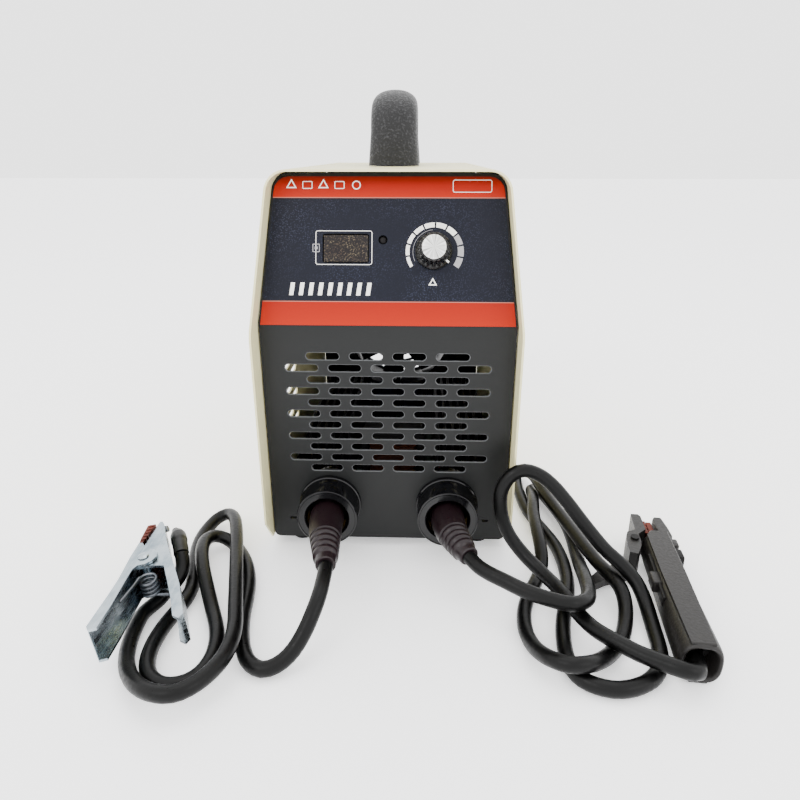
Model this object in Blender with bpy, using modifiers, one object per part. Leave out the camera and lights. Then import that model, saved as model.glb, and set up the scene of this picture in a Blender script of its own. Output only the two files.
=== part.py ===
"""Portable inverter stick welder with its earth clamp and electrode holder leads.

Metres, +Z up, +X to the operator's right when facing the front panel, +Y to the rear.
The origin is on the floor under the middle of the machine. Plan sizes of the small
tools are given in millimetres in their own frames and scaled by MM.
"""
import math

import bmesh
import bpy
from mathutils import Matrix, Vector

MM = 0.001
GAP = 0.0004                      # clearance between touching pieces

# ---- driving dimensions of the case ----
CASE_W = 0.150                    # outside width below the fold
CASE_TOP = 0.2275                 # top of the cover above the floor
FOOT_H = 0.006                    # height of the rubber feet
SHEET = 0.0012                    # cover, base and rear sheet
PANEL_T = 0.0018                  # front panel thickness
PANEL_Y = -0.1245                 # outer face of the lower front panel
REAR_Y = 0.1225                   # outer face of the rear panel
COVER_REAR = 0.1280               # rear edge of the cover
FOLD_Z = 0.1445                   # height of the fold between lower and upper panel
LEAN = math.radians(19.0)         # backward lean of the upper panel
SLOPE_LEN = 0.0855                # length of the upper panel along its slope
TAPER = 0.0075                    # how far each wall leans in from the fold to the top
CORNER_R = 0.012                  # outer radius of the cover's top corners
VISOR = 0.0158                    # how far the cover stands in front of the panel
PANEL_GAP = 0.0009                # dark line between panel and cover

# ---- sockets, controls ----
SOCKET_X = 0.0362
SOCKET_Z = 0.031
SOCKET_OUT = 0.019                # how far the sockets stand out of the panel
KNOB_X, KNOB_S = 0.0255, 0.0420   # knob centre: across, and up the slope
DISPLAY_X, DISPLAY_S = -0.0237, 0.0435
LAMP_X, LAMP_S = -0.0029, 0.0483

# ---- leads ----
CABLE_R = 0.0040
CABLE_STEP = 0.0150               # distance between the points of a lead's tube

FAN_Z = 0.078
FAN_SIZE = 0.092
SWITCH_Z = 0.172

PARTS = "stick_welder"
CUTTERS = "cutters"


# ------------------------------------------------------------------ helpers
def start_scene():
    """Empty the scene and make the two collections."""
    for obj in list(bpy.data.objects):
        bpy.data.objects.remove(obj, do_unlink=True)
    for name in (PARTS, CUTTERS):
        bpy.context.scene.collection.children.link(bpy.data.collections.new(name))


def material(name, colour, roughness, metallic=0.0):
    """Principled material with the part's colour, roughness and metallic value."""
    mat = bpy.data.materials.get(name) or bpy.data.materials.new(name)
    mat.use_nodes = True
    shader = mat.node_tree.nodes["Principled BSDF"]
    shader.inputs["Base Color"].default_value = (*colour, 1.0)
    shader.inputs["Roughness"].default_value = roughness
    shader.inputs["Metallic"].default_value = metallic
    return mat


def link(obj, mat=None, parent=None, collection=PARTS):
    """Put an object in its collection, with its material and its parent empty."""
    bpy.data.collections[collection].objects.link(obj)
    if mat is not None:
        obj.data.materials.append(mat)
    if parent is not None:
        obj.parent = parent
    return obj


def frame_empty(name, matrix):
    """Empty that carries a group of pieces in their own frame."""
    empty = bpy.data.objects.new(name, None)
    empty.matrix_world = matrix
    return link(empty)


def smooth(obj, degrees=35):
    """Shade round stretches smooth and keep real edges sharp."""
    obj.data.shade_smooth()
    obj.data.set_sharp_from_angle(angle=math.radians(degrees))
    return obj


def bevel(obj, width, segments=2):
    """Round the edges of a piece."""
    mod = obj.modifiers.new("round_edges", "BEVEL")
    mod.width = width
    mod.segments = segments
    mod.limit_method = "ANGLE"
    mod.angle_limit = math.radians(40)
    return obj


def boolean(obj, other, operation="DIFFERENCE"):
    """Exact boolean with a cutter or a piece to be joined."""
    mod = obj.modifiers.new(operation.lower(), "BOOLEAN")
    mod.operation = operation
    mod.object = other
    return obj


def as_cutter(obj):
    """Move an object to the cutters' collection, hidden from render."""
    for owner in list(obj.users_collection):
        owner.objects.unlink(obj)
    bpy.data.collections[CUTTERS].objects.link(obj)
    obj.hide_render = True
    obj.display_type = "WIRE"
    return obj


def box(name, size, centre, mat=None, parent=None, round_r=0.0):
    """Rectangular block."""
    bm = bmesh.new()
    bmesh.ops.create_cube(bm, size=1.0)
    bmesh.ops.scale(bm, vec=Vector(size), verts=bm.verts)
    mesh = bpy.data.meshes.new(name)
    bm.to_mesh(mesh)
    bm.free()
    obj = link(bpy.data.objects.new(name, mesh), mat, parent)
    obj.location = centre
    if round_r:
        bevel(obj, round_r)
    return obj


def cylinder(name, radius, length, centre, axis="Z", mat=None, parent=None, sides=24):
    """Round bar whose middle is at centre, along X, Y or Z."""
    bm = bmesh.new()
    bmesh.ops.create_cone(bm, cap_ends=True, segments=sides, radius1=radius,
                          radius2=radius, depth=length)
    mesh = bpy.data.meshes.new(name)
    bm.to_mesh(mesh)
    bm.free()
    obj = link(bpy.data.objects.new(name, mesh), mat, parent)
    obj.location = centre
    if axis == "X":
        obj.rotation_euler = (0.0, math.pi / 2, 0.0)
    elif axis == "Y":
        obj.rotation_euler = (math.pi / 2, 0.0, 0.0)
    return smooth(obj)


def turned(name, profile, mat=None, parent=None, steps=32):
    """Turned piece about local Z from a closed profile of (radius, height) points."""
    bm = bmesh.new()
    verts = [bm.verts.new((r, 0.0, z)) for r, z in profile]
    for a, b in zip(verts, verts[1:]):
        bm.edges.new((a, b))
    if profile[0][0] > 0.0:
        bm.edges.new((verts[-1], verts[0]))
    mesh = bpy.data.meshes.new(name)
    bm.to_mesh(mesh)
    bm.free()
    obj = link(bpy.data.objects.new(name, mesh), mat, parent)
    screw = obj.modifiers.new("turn", "SCREW")
    screw.steps = steps
    screw.render_steps = steps
    screw.use_merge_vertices = True
    screw.merge_threshold = 0.00001
    screw.use_smooth_shade = True
    return obj


def outline_solid(name, loops, thickness, mat=None, parent=None, collection=PARTS):
    """Flat sheet from an outline and its holes, centred on local z = 0."""
    curve = bpy.data.curves.new(name, "CURVE")
    curve.dimensions = "2D"
    curve.fill_mode = "BOTH"
    curve.extrude = thickness / 2
    curve.render_resolution_u = 0
    for loop in loops:
        spline = curve.splines.new("POLY")
        spline.points.add(len(loop) - 1)
        for point, (x, y) in zip(spline.points, loop):
            point.co = (x, y, 0.0, 1.0)
        spline.use_cyclic_u = True
    helper = bpy.data.objects.new(name + "_outline", curve)
    bpy.context.scene.collection.objects.link(helper)
    bpy.context.view_layer.update()
    depsgraph = bpy.context.evaluated_depsgraph_get()
    mesh = bpy.data.meshes.new_from_object(helper.evaluated_get(depsgraph))
    mesh.name = name
    mesh.materials.clear()
    bpy.data.objects.remove(helper, do_unlink=True)
    bm = bmesh.new()
    bm.from_mesh(mesh)
    bmesh.ops.remove_doubles(bm, verts=bm.verts, dist=0.000005)
    bmesh.ops.recalc_face_normals(bm, faces=bm.faces)
    bm.to_mesh(mesh)
    bm.free()
    return link(bpy.data.objects.new(name, mesh), mat, parent, collection)


def ring_loft(name, rings, mat=None, parent=None):
    """Closed solid through rings of equal point count, capped at both ends."""
    bm = bmesh.new()
    rows = [[bm.verts.new(p) for p in ring] for ring in rings]
    count = len(rings[0])
    for low, high in zip(rows, rows[1:]):
        for i in range(count):
            j = (i + 1) % count
            bm.faces.new((low[i], low[j], high[j], high[i]))
    bm.faces.new(list(reversed(rows[0])))
    bm.faces.new(rows[-1])
    bmesh.ops.recalc_face_normals(bm, faces=bm.faces)
    mesh = bpy.data.meshes.new(name)
    bm.to_mesh(mesh)
    bm.free()
    return smooth(link(bpy.data.objects.new(name, mesh), mat, parent))


def circle(radius, centre=(0.0, 0.0), count=24):
    """Points of a circle in the plane."""
    cx, cy = centre
    turn = 2 * math.pi / count
    return [(cx + radius * math.cos(turn * i), cy + radius * math.sin(turn * i))
            for i in range(count)]


def round_slot(length, height, centre, per_end=3):
    """Points of a slot with round ends, lying along x."""
    cx, cy = centre
    r = height / 2
    reach = length / 2 - r
    points = []
    for side in (1, -1):
        for i in range(per_end + 1):
            angle = side * math.pi / 2 * (2 * i / per_end - 1) * side
            angle += 0.0 if side > 0 else math.pi
            points.append((cx + side * reach + r * math.cos(angle),
                           cy + r * math.sin(angle)))
    return points


def rounded_rect(width, height, radius, centre=(0.0, 0.0), per_corner=3):
    """Points of a rectangle with round corners."""
    cx, cy = centre
    points = []
    for k, (sx, sy) in enumerate(((1, 1), (-1, 1), (-1, -1), (1, -1))):
        ox = cx + sx * (width / 2 - radius)
        oy = cy + sy * (height / 2 - radius)
        for i in range(per_corner + 1):
            angle = math.pi / 2 * (k + i / per_corner)
            points.append((ox + radius * math.cos(angle), oy + radius * math.sin(angle)))
    return points


def smooth_route(points, step):
    """Points about a step apart along a smooth curve through the given points."""
    knots = [Vector(p) * MM for p in points]
    knots = [2 * knots[0] - knots[1]] + knots + [2 * knots[-1] - knots[-2]]
    dense = []
    for a, b, c, d in zip(knots, knots[1:], knots[2:], knots[3:]):
        for i in range(12):
            t = i / 12
            dense.append(0.5 * (2 * b + (c - a) * t + (2 * a - 5 * b + 4 * c - d) * t * t
                                + (3 * b - a - 3 * c + d) * t ** 3))
    dense.append(knots[-2])
    total = sum((q - p).length for p, q in zip(dense, dense[1:]))
    pieces = round(total / step)
    spacing = total / pieces
    out, walked = [dense[0]], 0.0
    for p, q in zip(dense, dense[1:]):
        run = (q - p).length
        while walked + run >= spacing * len(out) and len(out) < pieces:
            out.append(p.lerp(q, (spacing * len(out) - walked) / run))
        walked += run
    out.append(dense[-1])
    return out


def wire(name, points, radius, mat, parent=None, sides_level=2):
    """Round wire or cable through the given points, as one closed solid."""
    curve = bpy.data.curves.new(name, "CURVE")
    curve.dimensions = "3D"
    curve.bevel_depth = radius
    curve.bevel_resolution = sides_level
    curve.use_fill_caps = True
    curve.render_resolution_u = 0
    spline = curve.splines.new("POLY")
    spline.points.add(len(points) - 1)
    for point, co in zip(spline.points, points):
        point.co = (*co, 1.0)
    return link(bpy.data.objects.new(name, curve), mat, parent)


def swept_rings(path, radii, count=16):
    """Rings of the given radii square to a path that stays near horizontal."""
    rings = []
    for i, (point, radius) in enumerate(zip(path, radii)):
        before = path[max(i - 1, 0)]
        after = path[min(i + 1, len(path) - 1)]
        along = (after - before).normalized()
        side = along.cross(Vector((0, 0, 1))).normalized()
        up = side.cross(along)
        rings.append([point + side * x + up * y for x, y in circle(radius, count=count)])
    return rings


# ------------------------------------------------------------------ materials
def make_materials():
    """All material slots of the machine."""
    return {
        "cover_paint": material("cover_paint", (0.62, 0.60, 0.48), 0.45),
        "panel_paint": material("panel_paint", (0.035, 0.037, 0.042), 0.45),
        "label_film": material("label_film", (0.020, 0.024, 0.050), 0.35),
        "grip_plastic": material("grip_plastic", (0.020, 0.020, 0.020), 0.6),
        "black_gloss": material("black_gloss", (0.010, 0.010, 0.010), 0.2),
        "black_rubber": material("black_rubber", (0.018, 0.017, 0.017), 0.6),
        "plug_rubber": material("plug_rubber", (0.030, 0.020, 0.024), 0.4),
        "cable_rubber": material("cable_rubber", (0.020, 0.018, 0.018), 0.45),
        "brass": material("brass", (0.70, 0.50, 0.20), 0.3, 1.0),
        "copper": material("copper", (0.55, 0.20, 0.10), 0.4, 1.0),
        "zinc_steel": material("zinc_steel", (0.55, 0.60, 0.64), 0.3, 1.0),
        "steel": material("steel", (0.45, 0.45, 0.46), 0.35, 1.0),
        "knob_silver": material("knob_silver", (0.75, 0.75, 0.68), 0.3, 1.0),
        "holder_plastic": material("holder_plastic", (0.060, 0.056, 0.054), 0.5),
        "display_lens": material("display_lens", (0.03, 0.02, 0.02), 0.1),
        "board_green": material("board_green", (0.02, 0.12, 0.05), 0.5),
        "aluminium": material("aluminium", (0.60, 0.61, 0.62), 0.4, 1.0),
        "winding": material("winding", (0.45, 0.22, 0.08), 0.5),
        "ferrite": material("ferrite", (0.05, 0.05, 0.05), 0.6),
        "capacitor_sleeve": material("capacitor_sleeve", (0.02, 0.02, 0.06), 0.4),
        "fan_plastic": material("fan_plastic", (0.012, 0.012, 0.012), 0.5),
        "switch_red": material("switch_red", (0.55, 0.02, 0.02), 0.3),
    }


# ------------------------------------------------------------------ case
def wall_x(z, half):
    """Half width at a height, for a wall that is half wide below the fold."""
    if z <= FOLD_Z:
        return half
    return half - TAPER * (z - FOLD_Z) / (CASE_TOP - FOLD_Z)


def hood_outline(offset, bottom):
    """Right half of the cover's cross section, from the bottom edge to the middle."""
    half = CASE_W / 2 - offset
    top = CASE_TOP - offset
    radius = CORNER_R - offset
    corner_x = wall_x(CASE_TOP, half) - radius
    points = [(half, bottom), (half, FOLD_Z)]
    for i in range(7):
        angle = math.pi / 2 * i / 6
        points.append((corner_x + radius * math.cos(angle),
                       top - radius + radius * math.sin(angle)))
    return points


def mirrored(points):
    """A right half outline followed by its left half, as one closed loop."""
    return points + [(-x, y) for x, y in reversed(points)]


def make_cover(mats):
    """Folded steel cover: two side walls and the top in one sheet."""
    bottom = FOOT_H + GAP
    outer = hood_outline(0.0, bottom)
    inner = hood_outline(SHEET, bottom)
    front = PANEL_Y - VISOR
    loop = outer + [(-x, z) for x, z in reversed(outer)]
    loop += [(-x, z) for x, z in inner] + list(reversed(inner))
    cover = outline_solid("cover_shell", [loop], COVER_REAR - front, mats["cover_paint"])
    cover.rotation_euler = (math.pi / 2, 0.0, 0.0)
    cover.location = (0.0, (COVER_REAR + front) / 2, 0.0)

    vertex_z = FOLD_Z - 0.004
    chamfer_z = 0.024
    high = 0.25
    lead = math.tan(LEAN) * (high - vertex_z)
    blank = [(front - 0.03, -0.01), (PANEL_Y - 0.001, -0.01), (PANEL_Y - 0.001, FOOT_H),
             (front, chamfer_z), (front, vertex_z), (front + lead, high), (front - 0.03, high)]
    cutter = outline_solid("cover_front_cutter", [blank], CASE_W + 0.02, collection=CUTTERS)
    cutter.rotation_euler = (math.pi / 2, 0.0, math.pi / 2)
    as_cutter(cutter)
    boolean(cover, cutter)

    slots = []
    for row in range(9):
        for column in range(2):
            y = -0.062 + column * 0.030 + (row % 2) * 0.012
            slots.append(round_slot(0.022, 0.0045, (y, 0.050 + row * 0.0095), per_end=2))
    vents = outline_solid("cover_vent_cutter", slots, CASE_W + 0.02, collection=CUTTERS)
    vents.rotation_euler = (math.pi / 2, 0.0, math.pi / 2)
    as_cutter(vents)
    boolean(cover, vents)
    return cover


def panel_slots():
    """Vent slots of the lower front panel, in panel height coordinates."""
    pitch_x, pitch_z = 0.0250, 0.00713
    slots = []
    for row in range(11):
        z = 0.1266 - row * pitch_z
        columns = 4 if row % 2 == 0 else 5
        for column in range(columns):
            x = (column - (columns - 1) / 2) * pitch_x
            slots.append(round_slot(0.0198, 0.0050, (x, z)))
    return slots


def make_front_panel(mats):
    """Front panel: a flat sheet with its openings, bent back at the fold."""
    bottom = FOOT_H
    half = CASE_W / 2 - SHEET - PANEL_GAP
    top = FOLD_Z + SLOPE_LEN
    drop = TAPER * SLOPE_LEN * math.cos(LEAN) / (CASE_TOP - FOLD_Z)
    radius = 0.009
    right = [(half - 0.003, bottom), (half, bottom + 0.003), (half, FOLD_Z)]
    for i in range(5):
        angle = math.pi / 2 * i / 4
        right.append((half - drop - radius + radius * math.cos(angle),
                      top - radius + radius * math.sin(angle)))
    loops = [mirrored(right)] + panel_slots()
    for side in (-1, 1):
        loops.append(circle(0.0160, (side * SOCKET_X, SOCKET_Z)))
        loops.append(rounded_rect(0.0042, 0.0016, 0.0004, (side * 0.0605, 0.0195), 1))
    loops.append(rounded_rect(0.0262, 0.0162, 0.001,
                              (DISPLAY_X, FOLD_Z + DISPLAY_S), 1))
    loops.append(circle(0.0042, (KNOB_X, FOLD_Z + KNOB_S), 16))
    loops.append(circle(0.0026, (LAMP_X, FOLD_Z + LAMP_S), 12))
    panel = outline_solid("front_panel", loops, PANEL_T, mats["panel_paint"])

    bm = bmesh.new()
    bm.from_mesh(panel.data)
    geometry = list(bm.verts) + list(bm.edges) + list(bm.faces)
    bmesh.ops.bisect_plane(bm, geom=geometry, dist=0.000001,
                           plane_co=(0, FOLD_Z, 0), plane_no=(0, 1, 0))
    bend = Matrix.Translation((0, FOLD_Z, PANEL_T / 2))
    bend = bend @ Matrix.Rotation(-LEAN, 4, "X") @ bend.inverted()
    above = [v for v in bm.verts if v.co.y > FOLD_Z + 0.00001]
    bmesh.ops.transform(bm, matrix=bend, verts=above)
    bm.to_mesh(panel.data)
    bm.free()
    panel.rotation_euler = (math.pi / 2, 0.0, 0.0)
    panel.location = (0.0, PANEL_Y + PANEL_T / 2, 0.0)
    return panel


def slope_frame():
    """Frame of the upper panel: x across, y up the slope, z out of the panel."""
    matrix = Matrix.Translation((0, PANEL_Y, FOLD_Z))
    return frame_empty("slope_frame", matrix @ Matrix.Rotation(math.pi / 2 - LEAN, 4, "X"))


def make_label(mats, slope):
    """Printed film over the whole upper panel."""
    half = CASE_W / 2 - SHEET - PANEL_GAP - 0.0010
    drop = TAPER * SLOPE_LEN * math.cos(LEAN) / (CASE_TOP - FOLD_Z)
    top = SLOPE_LEN - 0.0022
    radius = 0.0085
    right = [(half, 0.0004)]
    for i in range(5):
        angle = math.pi / 2 * i / 4
        right.append((half - drop - radius + radius * math.cos(angle),
                      top - radius + radius * math.sin(angle)))
    loops = [mirrored(right),
             rounded_rect(0.0262, 0.0162, 0.001, (DISPLAY_X, DISPLAY_S), 1),
             circle(0.0042, (KNOB_X, KNOB_S), 16),
             circle(0.0026, (LAMP_X, LAMP_S), 12)]
    label = outline_solid("front_label", loops, 0.0004, mats["label_film"], slope)
    label.location = (0.0, 0.0, 0.0005)
    return label


def make_base(mats):
    """Base tray with turned-up sides inside the cover."""
    half = CASE_W / 2 - SHEET - GAP
    low = FOOT_H + GAP
    lip = 0.014
    outer = [(half, low + lip), (half, low)]
    inner = [(half - SHEET, low + SHEET), (half - SHEET, low + lip)]
    loop = outer + [(-x, z) for x, z in reversed(outer)]
    loop += [(-x, z) for x, z in reversed(inner)] + inner
    front = PANEL_Y + PANEL_T + GAP
    back = REAR_Y - SHEET - GAP
    tray = outline_solid("base_tray", [loop], back - front, mats["panel_paint"])
    tray.rotation_euler = (math.pi / 2, 0.0, 0.0)
    tray.location = (0.0, (front + back) / 2, 0.0)
    return tray


def make_feet(mats):
    """Four rubber feet under the base tray."""
    for side, x in (("left", -0.057), ("right", 0.057)):
        for end, y in (("front", PANEL_Y + 0.013), ("rear", REAR_Y - 0.020)):
            profile = [(0.0, FOOT_H), (0.0072, FOOT_H), (0.0064, 0.0), (0.0, 0.0)]
            foot = turned(f"foot_{end}_{side}", profile, mats["black_rubber"], steps=16)
            foot.location = (x, y, 0.0)


def make_rear_panel(mats):
    """Flat rear panel with the fan, switch, cable and earth screw openings."""
    half = CASE_W / 2 - SHEET - GAP
    top = CASE_TOP - SHEET - GAP
    radius = CORNER_R - SHEET - GAP
    corner_x = wall_x(CASE_TOP, half) - radius
    right = [(half, FOOT_H + GAP), (half, FOLD_Z)]
    for i in range(5):
        angle = math.pi / 2 * i / 4
        right.append((corner_x + radius * math.cos(angle),
                      top - radius + radius * math.sin(angle)))
    loops = [mirrored(right), circle(0.043, (0.0, FAN_Z), 32),
             rounded_rect(0.0222, 0.0292, 0.0008, (-0.030, SWITCH_Z), 1),
             circle(0.0085, (0.032, SWITCH_Z), 20), circle(0.0024, (0.0565, 0.030), 12)]
    panel = outline_solid("rear_panel", loops, SHEET, mats["panel_paint"])
    panel.rotation_euler = (math.pi / 2, 0.0, 0.0)
    panel.location = (0.0, REAR_Y - SHEET / 2, 0.0)
    return panel


def make_handle(mats):
    """Moulded carrying handle: an arch with spread feet, screwed to the cover."""
    foot_z = CASE_TOP + GAP
    front_y, rear_y = PANEL_Y + 0.0880, 0.0900
    mid_y = (front_y + rear_y) / 2
    span = (rear_y - front_y) / 2
    rise = 0.2755 - foot_z
    bar = 0.0100                     # half thickness of the bar
    rings = []
    stations = 22
    for i in range(stations + 1):
        t = i / stations
        angle = math.pi * t
        reach = span - bar
        c, s = math.cos(angle), math.sin(angle)
        cy = mid_y - reach * math.copysign(abs(c) ** 0.42, c)
        cz = foot_z + (rise - bar) * abs(s) ** 0.42
        foot = max(0.0, 1.0 - (cz - foot_z) / 0.020)
        half_w = 0.0150 + 0.0024 * foot
        half_t = bar + 0.0025 * foot
        nc = math.copysign(abs(c) ** 1.6, c)
        normal = Vector((0.0, -nc, abs(s) ** 1.6)).normalized()
        if i in (0, stations):
            normal = Vector((0.0, -1.0 if i == 0 else 1.0, 0.0))
            cz = foot_z
        ring = []
        for k in range(16):
            a = 2 * math.pi * k / 16
            ux = math.copysign(abs(math.cos(a)) ** 0.9, math.cos(a)) * half_w
            uy = math.copysign(abs(math.sin(a)) ** 0.9, math.sin(a)) * half_t
            ring.append(Vector((ux, cy, cz)) + normal * uy)
        rings.append(ring)
    return ring_loft("carry_handle", rings, mats["grip_plastic"])


def make_handle_bolts(mats):
    """Bolts that hold the handle from inside the cover."""
    for end, y in (("front", PANEL_Y + 0.0980), ("rear", 0.0800)):
        cylinder(f"handle_bolt_{end}", 0.0045, 0.0032,
                 (0.0, y, CASE_TOP - SHEET - GAP - 0.0016), "Z", mats["steel"], sides=6)


# ------------------------------------------------------------------ controls
def make_display(mats, slope):
    """Display window, its module and the indicator lamp."""
    lens = box("display_window", (0.0250, 0.0150, 0.0024),
               (DISPLAY_X, DISPLAY_S, -0.0006), mats["display_lens"], slope, 0.0004)
    module = box("display_module", (0.0300, 0.0190, 0.0070),
                 (DISPLAY_X, DISPLAY_S, -0.0062), mats["black_gloss"], slope)
    profile = [(0.0, 0.0009), (0.0012, 0.0007), (0.0021, 0.0), (0.0021, -0.0060),
               (0.0, -0.0060)]
    lamp = turned("indicator_lamp", profile, mats["display_lens"], slope, 12)
    lamp.location = (LAMP_X, LAMP_S, 0.0)
    board = box("control_board", (0.100, 0.060, 0.0016), (0.004, 0.044, -0.0285),
                mats["board_green"], slope)
    return lens, module, lamp, board


def make_knob(mats, slope):
    """Current knob with its cap, and the potentiometer that it turns."""
    hub = frame_empty("knob_axis", Matrix.Identity(4))
    hub.parent = slope
    hub.location = (KNOB_X, KNOB_S, 0.0)

    def ring(radius, z, flute=0.0):
        count = 36
        points = []
        for k in range(count):
            a = 2 * math.pi * k / count
            r = radius - (flute if k % 3 == 0 else 0.0)
            points.append(Vector((r * math.cos(a), r * math.sin(a), z)))
        return points

    rings = [ring(0.0034, 0.0105), ring(0.0034, 0.0052), ring(0.0076, 0.0052),
             ring(0.0076, 0.0012), ring(0.0104, 0.0012), ring(0.0104, 0.0030),
             ring(0.0094, 0.0042), ring(0.0088, 0.0046, 0.0008),
             ring(0.0080, 0.0122, 0.0008), ring(0.0074, 0.0130), ring(0.0072, 0.0130)]
    ring_loft("control_knob", rings, mats["black_gloss"], hub)
    cap = [(0.0, 0.0142), (0.0061, 0.0142), (0.0066, 0.0139), (0.0067, 0.0134), (0.0, 0.0134)]
    turned("knob_cap", cap, mats["knob_silver"], hub, 32)
    cylinder("potentiometer_shaft", 0.0030, 0.0200, (0, 0, 0.0002), "Z", mats["aluminium"],
             hub, 16)
    nut = [(0.0060, 0.0034), (0.0060, 0.0011), (0.0039, 0.0011), (0.0039, 0.0034)]
    nut_obj = turned("potentiometer_nut", nut, mats["steel"], slope, 6)
    nut_obj.location = (KNOB_X, KNOB_S, 0.0)
    body = [(0.0037, 0.0008), (0.0037, -0.0050), (0.0085, -0.0050), (0.0085, -0.0160),
            (0.0034, -0.0160), (0.0034, 0.0008)]
    body_obj = turned("potentiometer_body", body, mats["steel"], slope, 20)
    body_obj.location = (KNOB_X, KNOB_S, 0.0)


# ------------------------------------------------------------------ sockets and plugs
def facing_front(obj, x, y, z):
    """Turn a piece made about +Z so that +Z points out of the front panel."""
    obj.rotation_euler = (math.pi / 2, 0.0, 0.0)
    obj.location = (x, y, z)
    return obj


def make_sockets(mats):
    """Panel sockets: moulded ring through the panel with a brass insert and a nut."""
    out = SOCKET_OUT
    flange = GAP
    for side, x in (("left", -SOCKET_X), ("right", SOCKET_X)):
        shell = [(0.0172, out), (0.0182, out - 0.0012), (0.0182, 0.0036), (0.0192, 0.0032),
                 (0.0192, flange), (0.0155, flange), (0.0155, -0.0200), (0.0110, -0.0200),
                 (0.0110, 0.0010), (0.0128, 0.0030), (0.0128, out - 0.0010),
                 (0.0136, out)]
        facing_front(turned(f"socket_{side}", shell, mats["black_gloss"], steps=28),
                     x, PANEL_Y, SOCKET_Z)
        insert = [(0.0106, 0.0000), (0.0106, -0.0240), (0.0068, -0.0240),
                  (0.0068, -0.0010), (0.0078, 0.0000)]
        facing_front(turned(f"socket_contact_{side}", insert, mats["brass"], steps=24),
                     x, PANEL_Y, SOCKET_Z)
        nut_back = -PANEL_T - GAP
        nut = [(0.0205, nut_back), (0.0205, nut_back - 0.0050),
               (0.0163, nut_back - 0.0050), (0.0163, nut_back)]
        facing_front(turned(f"socket_nut_{side}", nut, mats["grip_plastic"], steps=18),
                     x, PANEL_Y, SOCKET_Z)


PLUG_PATHS = {                     # centre line of each rubber sleeve, in mm
    "left": [(-36.2, -129.5, 31.0), (-36.2, -136.0, 31.0), (-36.1, -144.0, 31.0),
             (-35.4, -155.0, 31.0), (-33.8, -167.0, 31.0), (-32.0, -179.0, 30.8),
             (-30.4, -190.0, 30.4)],
    "right": [(36.2, -129.5, 31.0), (36.2, -136.0, 31.0), (36.4, -144.0, 31.0),
              (37.6, -153.0, 30.8), (40.0, -161.5, 30.4), (43.2, -169.5, 29.8),
              (47.0, -177.5, 29.0)],
}
PLUG_RADII = [10.0, 10.6, 9.4, 9.0, 8.7, 7.6, 5.6]


def make_plugs(mats):
    """Cable plugs: a ribbed rubber sleeve and a brass pin in each socket."""
    for side, path in PLUG_PATHS.items():
        points = [Vector(p) * MM for p in path]
        radii = [r * MM for r in PLUG_RADII]
        ring_loft(f"plug_sleeve_{side}", swept_rings(points, radii),
                  mats["plug_rubber"])
        x = points[0].x
        pin = [(0.0, 0.0042), (0.0062, 0.0042), (0.0062, -0.0170), (0.0052, -0.0190),
               (0.0, -0.0190)]
        facing_front(turned(f"plug_pin_{side}", pin, mats["brass"], steps=16),
                     x, PANEL_Y, SOCKET_Z)


# ------------------------------------------------------------------ leads
EARTH_ROUTE = [                    # centre line of the earth lead, in mm
    (-30.2, -192.6, 30.2), (-30.2, -199.6, 29.4), (-30.9, -210.2, 27.2),
    (-33.2, -218.7, 22.6), (-36.8, -225.2, 16), (-41.8, -231.2, 9.8), (-48.2, -235.8, 6),
    (-55.8, -237.6, 4.6), (-63.3, -232.7, 4.6), (-68.3, -223.3, 4.6), (-71.6, -212.7, 4.6),
    (-74.2, -200, 4.6), (-76, -185, 4.6), (-78.6, -170.2, 4.6), (-84, -154.3, 4.6),
    (-92.4, -140, 5), (-101.8, -131.2, 6.6), (-109.6, -131.2, 9.2), (-112.8, -139.3, 11.4),
    (-111.2, -151.4, 12.6), (-106.9, -164.4, 12.2), (-101.8, -176, 10.2),
    (-96.9, -186.2, 7.2), (-91.8, -196.6, 4.9), (-86.4, -208.2, 4.6), (-82.9, -219.1, 4.6),
    (-81.8, -230, 4.6), (-83.3, -239, 4.6), (-87.2, -245.3, 4.6), (-93.1, -248.6, 4.6),
    (-100.2, -248.6, 4.6), (-107.1, -244.1, 4.6), (-111.8, -236, 4.6), (-114, -226, 4.6),
    (-114.1, -215.3, 4.6), (-112.9, -205.2, 4.6), (-111, -195.9, 4.6), (-109.6, -186.8, 4.6),
    (-109.8, -175.9, 4.6), (-113.6, -161.9, 4.6), (-118, -145.2, 4.6), (-120.5, -129.8, 4.6),
    (-119.4, -115.8, 5.2), (-115.2, -106.6, 7.2), (-108.4, -105.6, 9.8),
    (-101.2, -115.6, 12.6), (-95, -133.6, 13.6), (-89.2, -155.7, 13.2), (-83, -179.4, 13.2),
    (-77.4, -201, 13.2), (-73.4, -216.6, 13.2), (-71.9, -228.9, 13.2), (-72.9, -240.1, 13.2),
    (-76.4, -249.6, 13.2), (-81.4, -257, 13.2), (-88, -261.6, 13), (-96.2, -261.6, 12.6),
    (-106.2, -256.5, 10.8), (-115.7, -246.3, 7.6), (-122.7, -234.2, 5),
    (-126.4, -222.3, 4.6), (-128.2, -210.2, 4.6), (-128.4, -199, 4.6), (-124.2, -189.6, 5),
    (-122.1, -182.7, 6), (-119.4, -177.1, 7.5), (-117.5, -172.2, 9.6),
    (-117.4, -168.1, 12.1), (-118.4, -164.7, 14.7)]

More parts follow.
